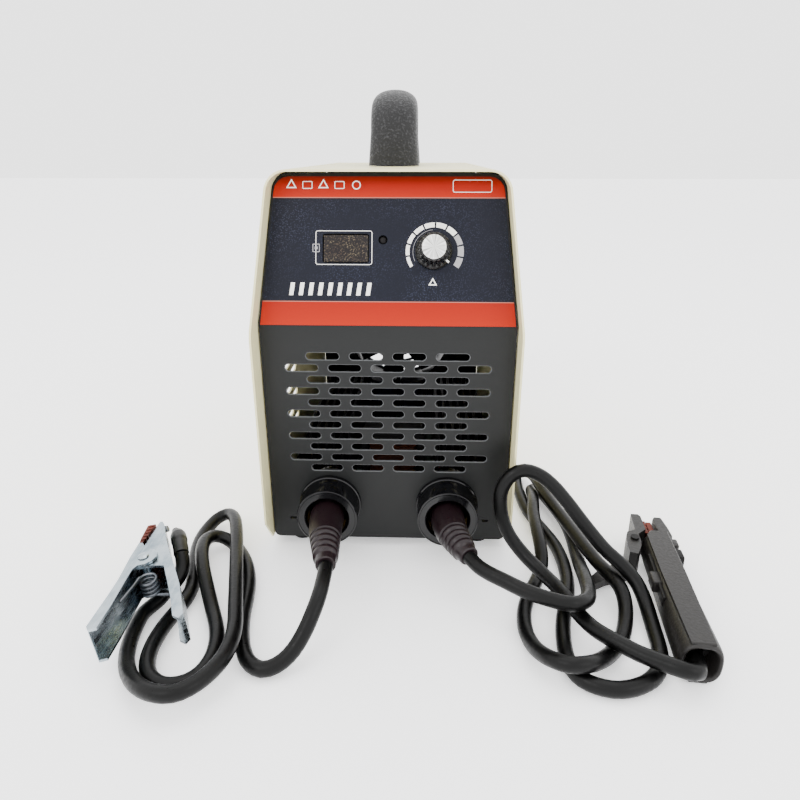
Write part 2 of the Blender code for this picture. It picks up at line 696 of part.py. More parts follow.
ELECTRODE_ROUTE = [                # centre line of the electrode lead, in mm
    (47.9, -179.6, 28.8), (51.6, -185.2, 28.1), (57.2, -190.2, 27.4), (64, -194.8, 26.8),
    (70.8, -199.2, 25.8), (77.9, -202.8, 24.9), (85.9, -205.6, 24), (93.9, -207.6, 23.2),
    (100.6, -206.4, 22.4), (106.9, -199.6, 20.2), (110.3, -187.9, 17), (112.3, -171.8, 13.8),
    (114, -156, 9.4), (116, -136.4, 5.4), (117.3, -116.4, 4.6), (116.4, -98.8, 4.6),
    (112.9, -80.5, 4.6), (109.6, -67, 4.6), (107, -58.2, 4.6), (103.6, -55, 4.7),
    (100.8, -58, 5.8), (99.6, -66, 8.2), (98.6, -77.5, 11.2), (96.6, -91.5, 13.2),
    (94.7, -105.2, 13.4), (93.6, -123.9, 13.4), (93.4, -138.4, 11.6), (93, -148.2, 8),
    (91, -156, 5.2), (86.6, -165.8, 4.6), (81.4, -176.8, 4.6), (77.7, -186.8, 4.6),
    (75.6, -196.3, 4.6), (75, -206.5, 4.6), (76.4, -216.2, 5.2), (79, -226.3, 8.4),
    (83.4, -235, 12.2), (90, -239.4, 13.6), (98.2, -238.2, 13), (106.8, -231.2, 9),
    (115.9, -220.5, 4.9), (123.2, -210.4, 4.6), (128.4, -198.5, 5), (130.8, -188.6, 8.4),
    (130.4, -179.6, 12.2), (127.2, -169.4, 13.4), (123.4, -159.2, 13.6),
    (119.6, -145.1, 14.2), (116.6, -129.4, 14.2), (113.4, -113.8, 14.2),
    (110.3, -100.7, 14.6), (106.9, -86.8, 15.6), (104.2, -69.6, 16.2), (102.6, -54, 14.6),
    (101.4, -41.5, 10.8), (99.4, -33, 7), (96, -30.2, 4.9), (93.2, -34.6, 4.6),
    (92.3, -45, 4.6), (92, -58, 4.6), (92.4, -72.2, 4.6), (94, -86.9, 4.6),
    (97.2, -99.7, 4.6), (101, -112.3, 4.6), (104.6, -125.6, 4.6), (106.2, -140.2, 4.6),
    (106, -155.3, 4.6), (104.6, -167.9, 4.6), (101.7, -179.7, 4.6), (97.9, -191.6, 4.6),
    (95.1, -202.1, 4.6), (93.2, -213.2, 4.6), (92.4, -223.7, 4.6), (93.4, -232.9, 4.6),
    (97.1, -239.2, 4.6), (103.6, -243.1, 4.6), (112.3, -244.7, 4.6), (122.2, -242.2, 4.6),
    (131, -236.4, 4.6), (137, -227.3, 4.6), (139.8, -216.9, 4.6), (141.2, -205.7, 4.8),
    (142, -194.6, 6.4), (141.4, -185.3, 10.4), (138.8, -177.6, 15.4), (132.2, -170.8, 21.4),
    (124.2, -165.2, 27), (116.6, -160.3, 34.8), (109.4, -156, 43), (102.5, -151.8, 51),
    (95.2, -148.4, 58.5), (87.5, -146.4, 64), (78.4, -146, 66.5), (71, -147, 63),
    (66.6, -148.2, 55.5), (66, -149, 47), (67.7, -150.4, 37), (72.2, -153.2, 27.2),
    (79.9, -159.8, 19.2), (87.8, -168.9, 15), (94.6, -180.6, 13.4), (98.9, -192.3, 13.2),
    (102.9, -203.9, 12.9), (107, -213.5, 13.4), (112.3, -220.9, 14.1), (118.6, -227, 14.2),
    (124.9, -232, 14), (131.3, -236.4, 14.4), (137.2, -240.8, 15.2), (143, -243, 14.8),
    (147.8, -241.9, 13.6)]


def make_leads(mats):
    """The two welding leads, each one round cable along its real route."""
    for name, route in (("earth_cable", EARTH_ROUTE), ("electrode_cable", ELECTRODE_ROUTE)):
        wire(name, smooth_route(route, CABLE_STEP), CABLE_R, mats["cable_rubber"])


# ------------------------------------------------------------------ earth clamp
CLAMP_AT = (-0.1291, -0.1861, 0.0215)
CLAMP_TURN = math.radians(8.5)      # about Z
CLAMP_TILT = math.radians(-6.0)     # about the clamp's long axis, right side up
CLAMP_PITCH = math.radians(1.2)      # handle ends lower than the jaws
CLAMP_H = 20.0                       # height of the moving arm's channel, mm
CLAMP_T = 1.4                        # clamp sheet, mm


def scaled(points):
    """Plan points in mm to metres."""
    return [(x * MM, y * MM) for x, y in points]


def channel(name, outline, cut, height, pin_r, mats, parent):
    """Channel-section arm: an outline solid with its inside cut away."""
    arm = outline_solid(name, [scaled(outline), circle(pin_r * MM, count=16)],
                        height * MM, mats["zinc_steel"], parent)
    inside = outline_solid(name + "_inside", [scaled(cut)],
                           (height - 2 * CLAMP_T) * MM, None, parent, CUTTERS)
    as_cutter(inside)
    return boolean(arm, inside)


def make_clamp(mats):
    """Spring clamp with two folded steel arms, copper jaws and a cable lug."""
    place = Matrix.Translation(CLAMP_AT) @ Matrix.Rotation(CLAMP_TURN, 4, "Z")
    place = place @ Matrix.Rotation(CLAMP_TILT, 4, "Y") @ Matrix.Rotation(
        CLAMP_PITCH, 4, "X")
    frame = frame_empty("clamp_frame", place)
    lobe = [(7.4 * math.cos(math.radians(a)), 7.4 * math.sin(math.radians(a)))
            for a in (-100, -70, -40, -10, 20, 50, 80)]
    moving = [(-3.8, 14.0), (-5.9, 14.4), (-7.4, 2.0), (-8.6, -17.0), (-10.2, -29.0),
              (-14.0, -51.0), (-12.6, -53.6), (-8.6, -53.0), (-6.2, -38.0), (-4.6, -22.0),
              (-3.2, -10.0)] + lobe + [(-1.6, 10.0)]
    inside = [(-4.5, 30.0), (-4.5, 13.5), (-6.0, 2.0), (-7.2, -17.0), (-8.8, -29.2),
              (-12.6, -51.2), (-11.4, -60.0), (20.0, -60.0), (20.0, 30.0)]
    channel("clamp_arm_moving", moving, inside, CLAMP_H, 2.9, mats, frame)
    fixed = [(0.3, 37.2), (1.8, 37.0), (3.4, 34.0), (7.5, 19.5), (12.6, 4.2),
             (17.7, -8.8), (24.1, -26.6), (30.4, -50.0), (28.6, -53.0), (25.4, -50.5),
             (21.8, -37.0), (17.6, -24.0), (12.3, -8.4), (5.0, -6.6), (-2.6, -6.6),
             (-4.8, -2.0), (-5.2, 2.0), (-3.4, 12.0), (-0.4, 33.0)]
    inner_cut = [(-20.0, 50.0), (0.6, 50.0), (2.0, 33.6), (6.1, 19.0), (11.2, 3.9),
                 (16.3, -9.0), (22.7, -26.8), (29.2, -51.0), (28.0, -60.0),
                 (-20.0, -60.0)]
    channel("clamp_arm_fixed", fixed, inner_cut, CLAMP_H - 2 * CLAMP_T - 0.8, 2.9, mats,
            frame)
    rivet = [(0.0, 0.0122), (0.0030, 0.0120), (0.0046, 0.0104), (0.0025, 0.0104),
             (0.0025, -0.0104), (0.0044, -0.0104), (0.0034, -0.0112), (0.0, -0.0114)]
    turned("clamp_rivet", rivet, mats["steel"], frame, 16)
    jaw = outline_solid("clamp_jaw_moving", [scaled([
        (-1.0, 33.0), (-5.4, 32.6), (-6.2, 20.0), (-6.0, 14.8), (-4.2, 14.8)])],
        0.0190, mats["copper"], frame)
    jaw.location = (0.0, 0.0, 0.0)
    outline_solid("clamp_jaw_fixed", [scaled([
        (0.2, 33.0), (-2.0, 16.0), (1.2, 16.0), (1.6, 32.0)])],
        0.0120, mats["copper"], frame)
    turns, per_turn, pitch, coil_r = 4, 8, 2.4, 4.6
    points = []
    for i in range(turns * per_turn + 1):
        a = math.pi - 2 * math.pi * i / per_turn
        points.append(Vector((4.0 + coil_r * math.cos(a), -13.0 + coil_r * math.sin(a),
                              turns * pitch * (0.5 - i / (turns * per_turn)))) * MM)
    wire("clamp_spring", points, 0.0008, mats["steel"], frame, 1)
    lug = [Vector(p) * MM for p in ((5.8, 42.5, -3.0), (8.0, 38.0, -3.0),
                                    (9.9, 32.0, -3.4), (11.3, 27.0, -4.6),
                                    (12.3, 22.5, -6.6))]
    ring_loft("clamp_cable_lug", swept_rings(lug, [0.0024, 0.0041, 0.0047, 0.0047, 0.0043]),
              mats["holder_plastic"], frame)
    return frame


# ------------------------------------------------------------------ electrode holder
HOLDER_AT = (0.1616, -0.1460, 0.0116)
HOLDER_TURN = math.radians(-5.9)


def grip_ring(y, half_w, half_h, count=20):
    """Section of the grip with a flat top strip and round flanks."""
    ring = []
    for k in range(count):
        a = 2 * math.pi * k / count
        x = math.copysign(abs(math.cos(a)) ** 0.75, math.cos(a)) * half_w
        z = math.copysign(abs(math.sin(a)) ** 0.75, math.sin(a)) * half_h
        ring.append(Vector((x, y, z)) * MM)
    return ring


def make_holder(mats):
    """Electrode holder: grip, squeeze lever, copper jaws, spring and pivot."""
    place = Matrix.Translation(HOLDER_AT) @ Matrix.Rotation(HOLDER_TURN, 4, "Z")
    frame = frame_empty("holder_frame", place)
    stations = [(-66, 7.4, 8.0), (-90, 7.8, 8.4), (-90, 9.7, 11.0), (-87, 10.1, 11.2),
                (-60, 9.6, 10.9), (-30, 8.9, 10.5), (-2, 8.2, 10.2), (7.5, 7.8, 10.0)]
    grip = ring_loft("holder_grip", [grip_ring(*s) for s in stations],
                     mats["holder_plastic"], frame)
    prong = outline_solid("holder_prong_body", [scaled([
        (0.0, -4.0), (7.0, -4.0), (10.4, 10.0), (8.2, 30.5), (3.4, 30.5), (2.0, 27.0),
        (3.0, 13.0), (0.0, 9.0)])], 0.0160, None, frame, CUTTERS)
    as_cutter(prong)
    boolean(grip, prong, "UNION")
    bump = box("holder_bump", (0.0070, 0.0200, 0.0130), (0.0088, -0.0010, 0.0), None, frame)
    as_cutter(bump)
    boolean(grip, bump, "UNION")

    lever = outline_solid("holder_lever", [scaled([
        (-5.0, 13.0), (-5.0, 28.0), (-6.2, 30.5), (-10.6, 30.5), (-11.6, 12.0),
        (-16.8, 8.6), (-18.2, 4.0), (-18.9, -4.0), (-24.0, -6.4), (-29.5, -9.4),
        (-37.0, -16.0), (-44.0, -25.0), (-41.5, -29.5), (-33.0, -23.0), (-24.0, -18.4),
        (-14.5, -14.0), (-11.4, -6.0), (-10.4, -1.0), (-10.4, 7.0), (-8.8, 9.0)]),
        circle(0.0016, (-0.0135, 0.0020), 12)],
        0.0180, mats["holder_plastic"], frame)
    slim = outline_solid("holder_lever_slim", [scaled([
        (-19.2, 6.0), (-60.0, 6.0), (-60.0, -50.0), (-14.0, -50.0), (-14.0, -14.5),
        (-19.2, -13.0)])], 0.0200, None, frame, CUTTERS)
    slim.location = (0.0, 0.0, 0.0057)
    as_cutter(slim)
    boolean(lever, slim)
    pin = turned("holder_pivot", [(0.0, 0.0103), (0.0026, 0.0103), (0.0026, 0.0094),
                                  (0.0013, 0.0094), (0.0013, -0.0094),
                                  (0.0026, -0.0094), (0.0026, -0.0103), (0.0, -0.0103)],
                 mats["steel"], frame, 12)
    pin.location = (-0.0135, 0.0020, 0.0)
    box("holder_jaw_moving", (0.0024, 0.0130, 0.0110), (-0.0035, 0.0210, 0.0),
        mats["copper"], frame, 0.0003)
    box("holder_jaw_fixed", (0.0034, 0.0130, 0.0110), (-0.0002, 0.0210, 0.0),
        mats["copper"], frame, 0.0004)
    return frame


# ------------------------------------------------------------------ inside the case
def make_fan(mats):
    """Cooling fan: frame with its motor mount, rotor and stamped finger guard."""
    y_mid = REAR_Y - SHEET - GAP - 0.0125
    half = FAN_SIZE / 2
    square = rounded_rect(FAN_SIZE, FAN_SIZE, 0.004, (0.0, 0.0), 2)
    frame = outline_solid("fan_frame", [square, circle(half - 0.0025, count=32)], 0.0250,
                          mats["fan_plastic"])
    frame.rotation_euler = (math.pi / 2, 0.0, 0.0)
    frame.location = (0.0, y_mid, FAN_Z)
    struts = box("fan_struts", (0.0070, FAN_SIZE - 0.0030, 0.0030), (0, 0, 0))
    cross = box("fan_cross", (FAN_SIZE - 0.0030, 0.0070, 0.0030), (0, 0, 0))
    disc = cylinder("fan_motor_plate", 0.0180, 0.0030, (0, 0, 0), sides=20)
    for piece in (struts, cross, disc):
        as_cutter(piece)
        piece.rotation_euler = (math.pi / 2, 0.0, 0.0)
        piece.location = (0.0, y_mid - 0.0110, FAN_Z)
        boolean(frame, piece, "UNION")

    hub = turned("fan_rotor", [(0.0, 0.0100), (0.0150, 0.0100), (0.0170, 0.0085),
                               (0.0170, -0.0080), (0.0, -0.0080)], mats["fan_plastic"],
                 steps=21)
    hub.rotation_euler = (-math.pi / 2, 0.0, 0.0)
    hub.location = (0.0, y_mid, FAN_Z)
    for i in range(7):
        blade = box(f"fan_blade_{i}", (0.0270, 0.0190, 0.0016), (0, 0, 0))
        as_cutter(blade)
        spin = Matrix.Rotation(2 * math.pi * i / 7, 4, "Z")
        pitch = Matrix.Rotation(math.radians(38), 4, "X")
        blade.matrix_world = hub.matrix_basis @ spin @ Matrix.Translation(
            (0.0285, 0.0, 0.0)) @ pitch
        boolean(hub, blade, "UNION")

    holes = [circle(0.0450, count=36)]
    for ring in range(3):
        low = 0.0110 + ring * 0.0110
        high = low + 0.0085
        for quarter in range(4):
            start = math.pi / 2 * quarter + 0.0022 / low
            stop = math.pi / 2 * (quarter + 1) - 0.0022 / low
            arc = [start + (stop - start) * i / 4 for i in range(5)]
            loop = [(high * math.cos(a), high * math.sin(a)) for a in arc]
            loop += [(low * math.cos(a), low * math.sin(a)) for a in reversed(arc)]
            holes.append(loop)
    guard = outline_solid("fan_guard", holes, 0.0016, mats["steel"])
    guard.rotation_euler = (math.pi / 2, 0.0, 0.0)
    guard.location = (0.0, REAR_Y + GAP + 0.0008, FAN_Z)


def make_rear_fittings(mats):
    """Power switch, mains cable gland and earth screw."""
    face = REAR_Y + GAP
    shell = outline_solid("switch_housing", [
        rounded_rect(0.0250, 0.0320, 0.0010, (0.0, 0.0), 1),
        rounded_rect(0.0160, 0.0240, 0.0008, (0.0, 0.0), 1)], 0.0020, mats["black_gloss"])
    shell.rotation_euler = (math.pi / 2, 0.0, 0.0)
    shell.location = (-0.030, face + 0.0010, SWITCH_Z)
    rocker = outline_solid("switch_rocker", [scaled([
        (-11.0, -1.6), (11.0, -1.6), (11.0, 4.6), (5.0, 3.4), (0.0, 2.9), (-5.0, 3.0),
        (-11.0, 3.4)])], 0.0150, mats["switch_red"])
    turn = Matrix.Translation((-0.030, face, SWITCH_Z))
    rocker.matrix_world = turn @ Matrix(((0, 0, 1, 0), (0, 1, 0, 0), (-1, 0, 0, 0),
                                         (0, 0, 0, 1)))
    gland = [(0.0068, 0.0205), (0.0088, 0.0190), (0.0100, 0.0120), (0.0130, 0.0115),
             (0.0130, GAP), (0.0080, GAP), (0.0080, -0.0140), (0.0050, -0.0140),
             (0.0050, 0.0205)]
    gland_obj = turned("cable_gland", gland, mats["black_rubber"], steps=20)
    gland_obj.rotation_euler = (-math.pi / 2, 0.0, 0.0)
    gland_obj.location = (0.032, REAR_Y + 0.0005, SWITCH_Z)
    screw = [(0.0, 0.0040), (0.0035, 0.0036), (0.0046, 0.0020), (0.0046, GAP),
             (0.0020, GAP), (0.0020, -0.0110), (0.0, -0.0110)]
    screw_obj = turned("earth_screw", screw, mats["brass"], steps=16)
    screw_obj.rotation_euler = (-math.pi / 2, 0.0, 0.0)
    screw_obj.location = (0.0565, REAR_Y, 0.030)


def make_power_stage(mats):
    """Main board with heat sinks, transformer, choke, capacitors and rectifier."""
    board_z = FOOT_H + SHEET + 2 * GAP + 0.0010
    box("main_board", (0.128, 0.166, 0.0016), (0.0, -0.003, board_z), mats["board_green"])
    top = board_z + 0.0008 + GAP
    for side, x in (("left", -0.044), ("right", 0.044)):
        fins = [(0.015, 0.0)]
        for k in range(6):
            x1 = 0.015 - k * 0.0054
            fins += [(x1, 0.048), (x1 - 0.0020, 0.048)]
            if k < 5:
                fins += [(x1 - 0.0020, 0.008), (x1 - 0.0054, 0.008)]
        fins += [(-0.014, 0.0)]
        sink = outline_solid(f"heat_sink_{side}", [fins], 0.110, mats["aluminium"])
        sink.rotation_euler = (math.pi / 2, 0.0, 0.0)
        sink.location = (x, -0.015, top)
    core = outline_solid("transformer_core", [
        rounded_rect(0.044, 0.040, 0.001, (0.0, 0.020), 1),
        rounded_rect(0.010, 0.028, 0.0005, (-0.012, 0.020), 1),
        rounded_rect(0.010, 0.028, 0.0005, (0.012, 0.020), 1)], 0.018, mats["ferrite"])
    core.rotation_euler = (math.pi / 2, 0.0, 0.0)
    core.location = (0.0, -0.050, top)
    coil = outline_solid("transformer_winding", [
        rounded_rect(0.0330, 0.0370, 0.004, (0.0, 0.0), 2),
        rounded_rect(0.0148, 0.0190, 0.0005, (0.0, 0.0), 1)], 0.026, mats["winding"])
    coil.location = (0.0, -0.050, top + 0.020)
    choke = [(0.0200, 0.0160), (0.0200, 0.0010), (0.0185, 0.0), (0.0090, 0.0),
             (0.0075, 0.0010), (0.0075, 0.0160), (0.0090, 0.0170), (0.0185, 0.0170)]
    choke_obj = turned("output_choke", choke, mats["winding"], steps=16)
    choke_obj.location = (0.0, -0.002, top)
    for side, x in (("left", -0.013), ("right", 0.013)):
        profile = [(0.0, 0.0460), (0.0100, 0.0460), (0.0115, 0.0450), (0.0115, 0.0),
                   (0.0, 0.0)]
        cap = turned(f"capacitor_{side}", profile, mats["capacitor_sleeve"], steps=20)
        cap.location = (x, 0.044, top)


def main():
    """Build the whole machine."""
    start_scene()
    mats = make_materials()
    make_cover(mats)
    make_front_panel(mats)
    make_base(mats)
    make_rear_panel(mats)
    make_feet(mats)
    make_handle(mats)
    make_handle_bolts(mats)
    slope = slope_frame()
    make_label(mats, slope)
    make_display(mats, slope)
    make_knob(mats, slope)
    make_sockets(mats)
    make_plugs(mats)
    make_leads(mats)
    make_clamp(mats)
    make_holder(mats)
    make_fan(mats)
    make_rear_fittings(mats)
    make_power_stage(mats)


main()
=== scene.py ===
"""Looks of the portable stick welder: finer shapes, finishes, leads, light and camera.

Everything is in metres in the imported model's frame: +X to the operator's right, +Y to the
rear, +Z up, with the floor at z = 0. Small tools are drawn in millimetres in their own
frames, as in the CAD source, and scaled by MM.
"""
import math

import bmesh
import bpy
from mathutils import Matrix, Vector


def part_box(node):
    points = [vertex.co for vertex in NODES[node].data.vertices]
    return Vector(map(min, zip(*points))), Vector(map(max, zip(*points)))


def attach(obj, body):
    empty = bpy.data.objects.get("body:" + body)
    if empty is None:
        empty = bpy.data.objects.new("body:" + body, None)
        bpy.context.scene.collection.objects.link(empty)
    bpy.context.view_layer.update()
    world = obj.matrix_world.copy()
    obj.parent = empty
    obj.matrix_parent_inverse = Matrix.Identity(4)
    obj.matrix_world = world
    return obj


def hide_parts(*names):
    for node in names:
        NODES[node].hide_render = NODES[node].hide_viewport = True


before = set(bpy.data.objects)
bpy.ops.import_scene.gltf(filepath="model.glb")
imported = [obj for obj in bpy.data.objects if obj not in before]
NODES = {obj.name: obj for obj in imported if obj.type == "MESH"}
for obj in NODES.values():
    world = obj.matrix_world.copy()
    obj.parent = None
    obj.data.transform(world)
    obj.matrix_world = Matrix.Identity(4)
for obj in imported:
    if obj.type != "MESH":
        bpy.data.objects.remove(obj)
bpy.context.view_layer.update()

MM = 0.001

# ---- the case, as in the CAD source ----
CASE_W = 0.150
PANEL_Y = -0.1245
PANEL_T = 0.0018
REAR_Y = 0.1225
FOLD_Z = 0.1445
LEAN = math.radians(19.0)
SLOPE_LEN = 0.0855
TAPER = 0.0075
CASE_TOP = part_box("cover_shell")[1][2]
PANEL_BOTTOM = 0.006
SHEET = 0.0012
PANEL_GAP = 0.0009
SOCKET_X, SOCKET_Z = 0.0362, 0.031
KNOB_X, KNOB_S = 0.0255, 0.0420
DISPLAY_X, DISPLAY_S = -0.0237, 0.0435
LAMP_X, LAMP_S = -0.0029, 0.0483
CABLE_R = 0.0040

SLOPE = (Matrix.Translation((0, PANEL_Y, FOLD_Z))
         @ Matrix.Rotation(math.pi / 2 - LEAN, 4, "X"))
CLAMP = (Matrix.Translation((-0.1291, -0.1861, 0.0215))
         @ Matrix.Rotation(math.radians(8.5), 4, "Z")
         @ Matrix.Rotation(math.radians(-6.0), 4, "Y")
         @ Matrix.Rotation(math.radians(1.2), 4, "X"))
HOLDER = (Matrix.Translation((0.1616, -0.1460, 0.0116))
          @ Matrix.Rotation(math.radians(-5.9), 4, "Z"))


# ------------------------------------------------------------------ finishes
def linear(red, green, blue):
    """Linear colour from 0-255 display values."""
    values = []
    for value in (red, green, blue):
        c = value / 255
        values.append(c / 12.92 if c <= 0.04045 else ((c + 0.055) / 1.055) ** 2.4)
    return values


def shade(colour, factor):
    """A colour made lighter or darker."""
    return (*(min(1.0, c * factor) for c in colour), 1.0)


class Tree:
    """Short way to build a material's nodes."""

    def __init__(self, name, roughness, metallic):
        self.mat = bpy.data.materials.new(name)
        self.mat.use_nodes = True
        self.nodes = self.mat.node_tree.nodes
        self.links = self.mat.node_tree.links
        self.shader = self.nodes["Principled BSDF"]
        self.shader.inputs["Roughness"].default_value = roughness
        self.shader.inputs["Metallic"].default_value = metallic
        self.coords = self.nodes.new("ShaderNodeTexCoord").outputs["Object"]

    def add(self, kind, inputs=None, **settings):
        node = self.nodes.new(kind)
        for key, value in settings.items():
            setattr(node, key, value)
        for key, value in (inputs or {}).items():
            if isinstance(value, bpy.types.NodeSocket):
                self.links.new(value, node.inputs[key])
            else:
                node.inputs[key].default_value = value
        return node

    def stretched(self, scale):
        return self.add("ShaderNodeMapping", {"Vector": self.coords,
                                              "Scale": scale}).outputs["Vector"]

    def noise(self, scale, detail=3.0, vector=None):
        return self.add("ShaderNodeTexNoise", {"Vector": vector or self.coords,
                                               "Scale": scale,
                                               "Detail": detail}).outputs["Fac"]

    def mapped(self, value, low, high, start=0.3, stop=0.7):
        return self.add("ShaderNodeMapRange", {
            "Value": value, "From Min": start, "From Max": stop, "To Min": low,
            "To Max": high}).outputs["Result"]

    def mixed(self, factor, first, second):
        node = self.add("ShaderNodeMix", data_type="RGBA")
        self.links.new(factor, node.inputs[0])
        for socket, value in ((node.inputs[6], first), (node.inputs[7], second)):
            if isinstance(value, bpy.types.NodeSocket):
                self.links.new(value, socket)
            else:
                socket.default_value = value
        return node.outputs[2]

    def product(self, first, second):
        node = self.add("ShaderNodeMath", operation="MULTIPLY")
        self.links.new(first, node.inputs[0])
        self.links.new(second, node.inputs[1])
        return node.outputs[0]

    def ramp(self, factor, stops):
        node = self.add("ShaderNodeValToRGB", {"Fac": factor})
        points = node.color_ramp.elements
        while len(points) < len(stops):
            points.new(0.5)
        for point, (place, colour) in zip(points, stops):
            point.position = place
            point.color = (*colour[:3], 1.0)
        return node.outputs["Color"]

    def bump(self, height, strength, distance):
        normal = self.add("ShaderNodeBump", {"Height": height, "Strength": strength,
                                             "Distance": distance}).outputs["Normal"]
        self.links.new(normal, self.shader.inputs["Normal"])

    def set(self, **values):
        for key, value in values.items():
            socket = self.shader.inputs[key.replace("_", " ")]
            if isinstance(value, bpy.types.NodeSocket):
                self.links.new(value, socket)
            else:
                socket.default_value = value
        return self


def surface(name, colour, roughness, metallic=0.0, grain=900.0, bump=0.2, depth=0.0003,
            mottle=0.08, mottle_scale=45.0, vary=0.07, stretch=(1.0, 1.0, 1.0),
            shine=0.5):
    """Finish with fine grain, slight colour drift and uneven gloss."""
    tree = Tree(name, roughness, metallic)
    where = tree.stretched(stretch)
    fine = tree.noise(grain, 4.0, where)
    broad = tree.noise(mottle_scale, 5.0, where)
    factor = tree.mapped(broad, 0.0, 1.0)
    tree.set(Base_Color=tree.mixed(factor, shade(colour, 1 - mottle),
                                   shade(colour, 1 + mottle)),
             Roughness=tree.mapped(fine, max(0.02, roughness - vary), roughness + vary),
             Specular_IOR_Level=shine)
    tree.bump(fine, bump, depth)
    return tree.mat


def label_film():
    """Printed film: orange bands above and below a navy field with fine flakes."""
    tree = Tree("label_film", 0.34, 0.0)
    height = tree.add("ShaderNodeSeparateXYZ", {"Vector": tree.coords}).outputs["Z"]
    rise = SLOPE_LEN * math.cos(LEAN)
    along = tree.mapped(height, 0.0, 1.0, FOLD_Z + 0.0003, FOLD_Z + 0.0003 + rise)
    orange, glow, ember = linear(146, 20, 0), linear(160, 28, 0), linear(74, 10, 2)
    navy, edge, rust = linear(13, 15, 26), linear(180, 116, 100), linear(112, 14, 0)
    bands = tree.ramp(along, [
        (0.000, glow), (0.150, orange), (0.1590, orange), (0.1600, edge), (0.1625, edge),
        (0.1635, navy), (0.8350, navy), (0.8360, edge), (0.8385, edge), (0.8400, glow),
        (0.9150, orange), (0.9550, rust), (1.0000, ember)])
    flakes = tree.add("ShaderNodeTexVoronoi", {"Vector": tree.coords, "Scale": 1150.0})
    spark = tree.mapped(flakes.outputs["Distance"], 0.75, 0.0, 0.02, 0.42)
    cloud = tree.noise(38.0, 5.0)
    field = tree.mapped(along, 1.0, 0.0, 0.83, 0.835)
    above_band = tree.mapped(along, 0.0, 1.0, 0.163, 0.166)
    amount = spark
    for part in (field, above_band, tree.mapped(cloud, 0.02, 0.30, 0.35, 0.75)):
        amount = tree.product(amount, part)
    tree.set(Base_Color=tree.mixed(amount, bands, (*linear(120, 128, 165), 1.0)),
             Roughness=tree.mapped(tree.noise(500.0), 0.34, 0.48),
             Specular_IOR_Level=0.15)
    tree.bump(tree.noise(1400.0), 0.08, 0.0002)
    return tree.mat


def spun_metal(name, colour, centre, roughness):
    """Metal disc with fine radial lines about a centre in the frame of its mesh: the spun
    grain, with its bright and dark rays as painted reflection.
    """
    tree = Tree(name, roughness, 1.0)
    local = tree.add("ShaderNodeMapping", {"Vector": tree.coords, "Location": [
        -c for c in centre]}).outputs["Vector"]
    turn = tree.add("ShaderNodeMapping", {
        "Vector": local, "Rotation": (-(math.pi / 2 - LEAN), 0.0, 0.0)}).outputs["Vector"]
    split = tree.add("ShaderNodeSeparateXYZ", {"Vector": turn})
    angle = tree.add("ShaderNodeMath", operation="ARCTAN2")
    tree.links.new(split.outputs["Y"], angle.inputs[0])
    tree.links.new(split.outputs["X"], angle.inputs[1])
    ray = tree.add("ShaderNodeCombineXYZ", {"X": angle.outputs[0]}).outputs[0]
    streak_and_reflection = tree.noise(4.5, 6.0, ray)
    # colour from 0.28 to 1.25 of the metal's along the angle: the spun grain plus rays of
    # painted reflection
    tree.set(Base_Color=tree.ramp(streak_and_reflection, [(0.34, shade(colour, 0.28)),
                                           (0.50, shade(colour, 0.80)),
                                           (0.66, shade(colour, 1.25))]),
             Roughness=tree.mapped(streak_and_reflection, roughness - 0.08, roughness + 0.12))
    return tree.mat


def worn_metal(name, colour, dark, roughness, stretch):
    """Plated or bare metal with cloudy tarnish and fine scratches along one way."""
    tree = Tree(name, roughness, 1.0)
    scratch = tree.noise(260.0, 6.0, tree.stretched(stretch))
    cloud = tree.noise(70.0, 5.0)
    base = tree.mixed(tree.mapped(cloud, 0.0, 1.0, 0.38, 0.66), (*colour, 1.0), (*dark, 1.0))
    tree.set(Base_Color=tree.mixed(tree.mapped(scratch, 0.0, 0.35, 0.45, 0.75), base,
                                   shade(colour, 1.35)),
             Roughness=tree.mapped(scratch, roughness - 0.08, roughness + 0.14))
    tree.bump(scratch, 0.12, 0.0002)
    return tree.mat


def grained_plastic(name, dark, light, roughness):
    """Moulded plastic with a coarse leather grain whose tops get a painted highlight in the
    colour.
    """
    tree = Tree(name, roughness, 0.0)
    grain = tree.noise(760.0, 2.0)
    # the grain's tops mix towards the lighter colour: a painted highlight
    tops = tree.mapped(grain, 0.0, 1.0, 0.54, 0.70)
    tree.set(Base_Color=tree.mixed(tops, (*dark, 1.0), (*light, 1.0)),
             Roughness=tree.mapped(grain, roughness + 0.12, roughness - 0.10),
             Specular_IOR_Level=0.30)
    tree.bump(grain, 0.8, 0.0006)
    return tree.mat


def speckled_lens():
    """Smoked window full of fine golden grey specks."""
    tree = Tree("smoked_lens", 0.3, 0.0)
    specks = tree.noise(1300.0, 2.0)
    patch = tree.noise(160.0, 3.0)
    spark = tree.mixed(tree.mapped(patch, 0.0, 1.0), (*linear(58, 44, 36), 1.0),
                       (*linear(104, 94, 74), 1.0))
    tree.set(Base_Color=tree.mixed(tree.mapped(specks, 0.0, 1.0, 0.54, 0.70),
                                   (*linear(18, 13, 14), 1.0), spark),
             Roughness=tree.mapped(patch, 0.26, 0.40), Specular_IOR_Level=0.20)
    tree.bump(specks, 0.15, 0.0002)
    return tree.mat


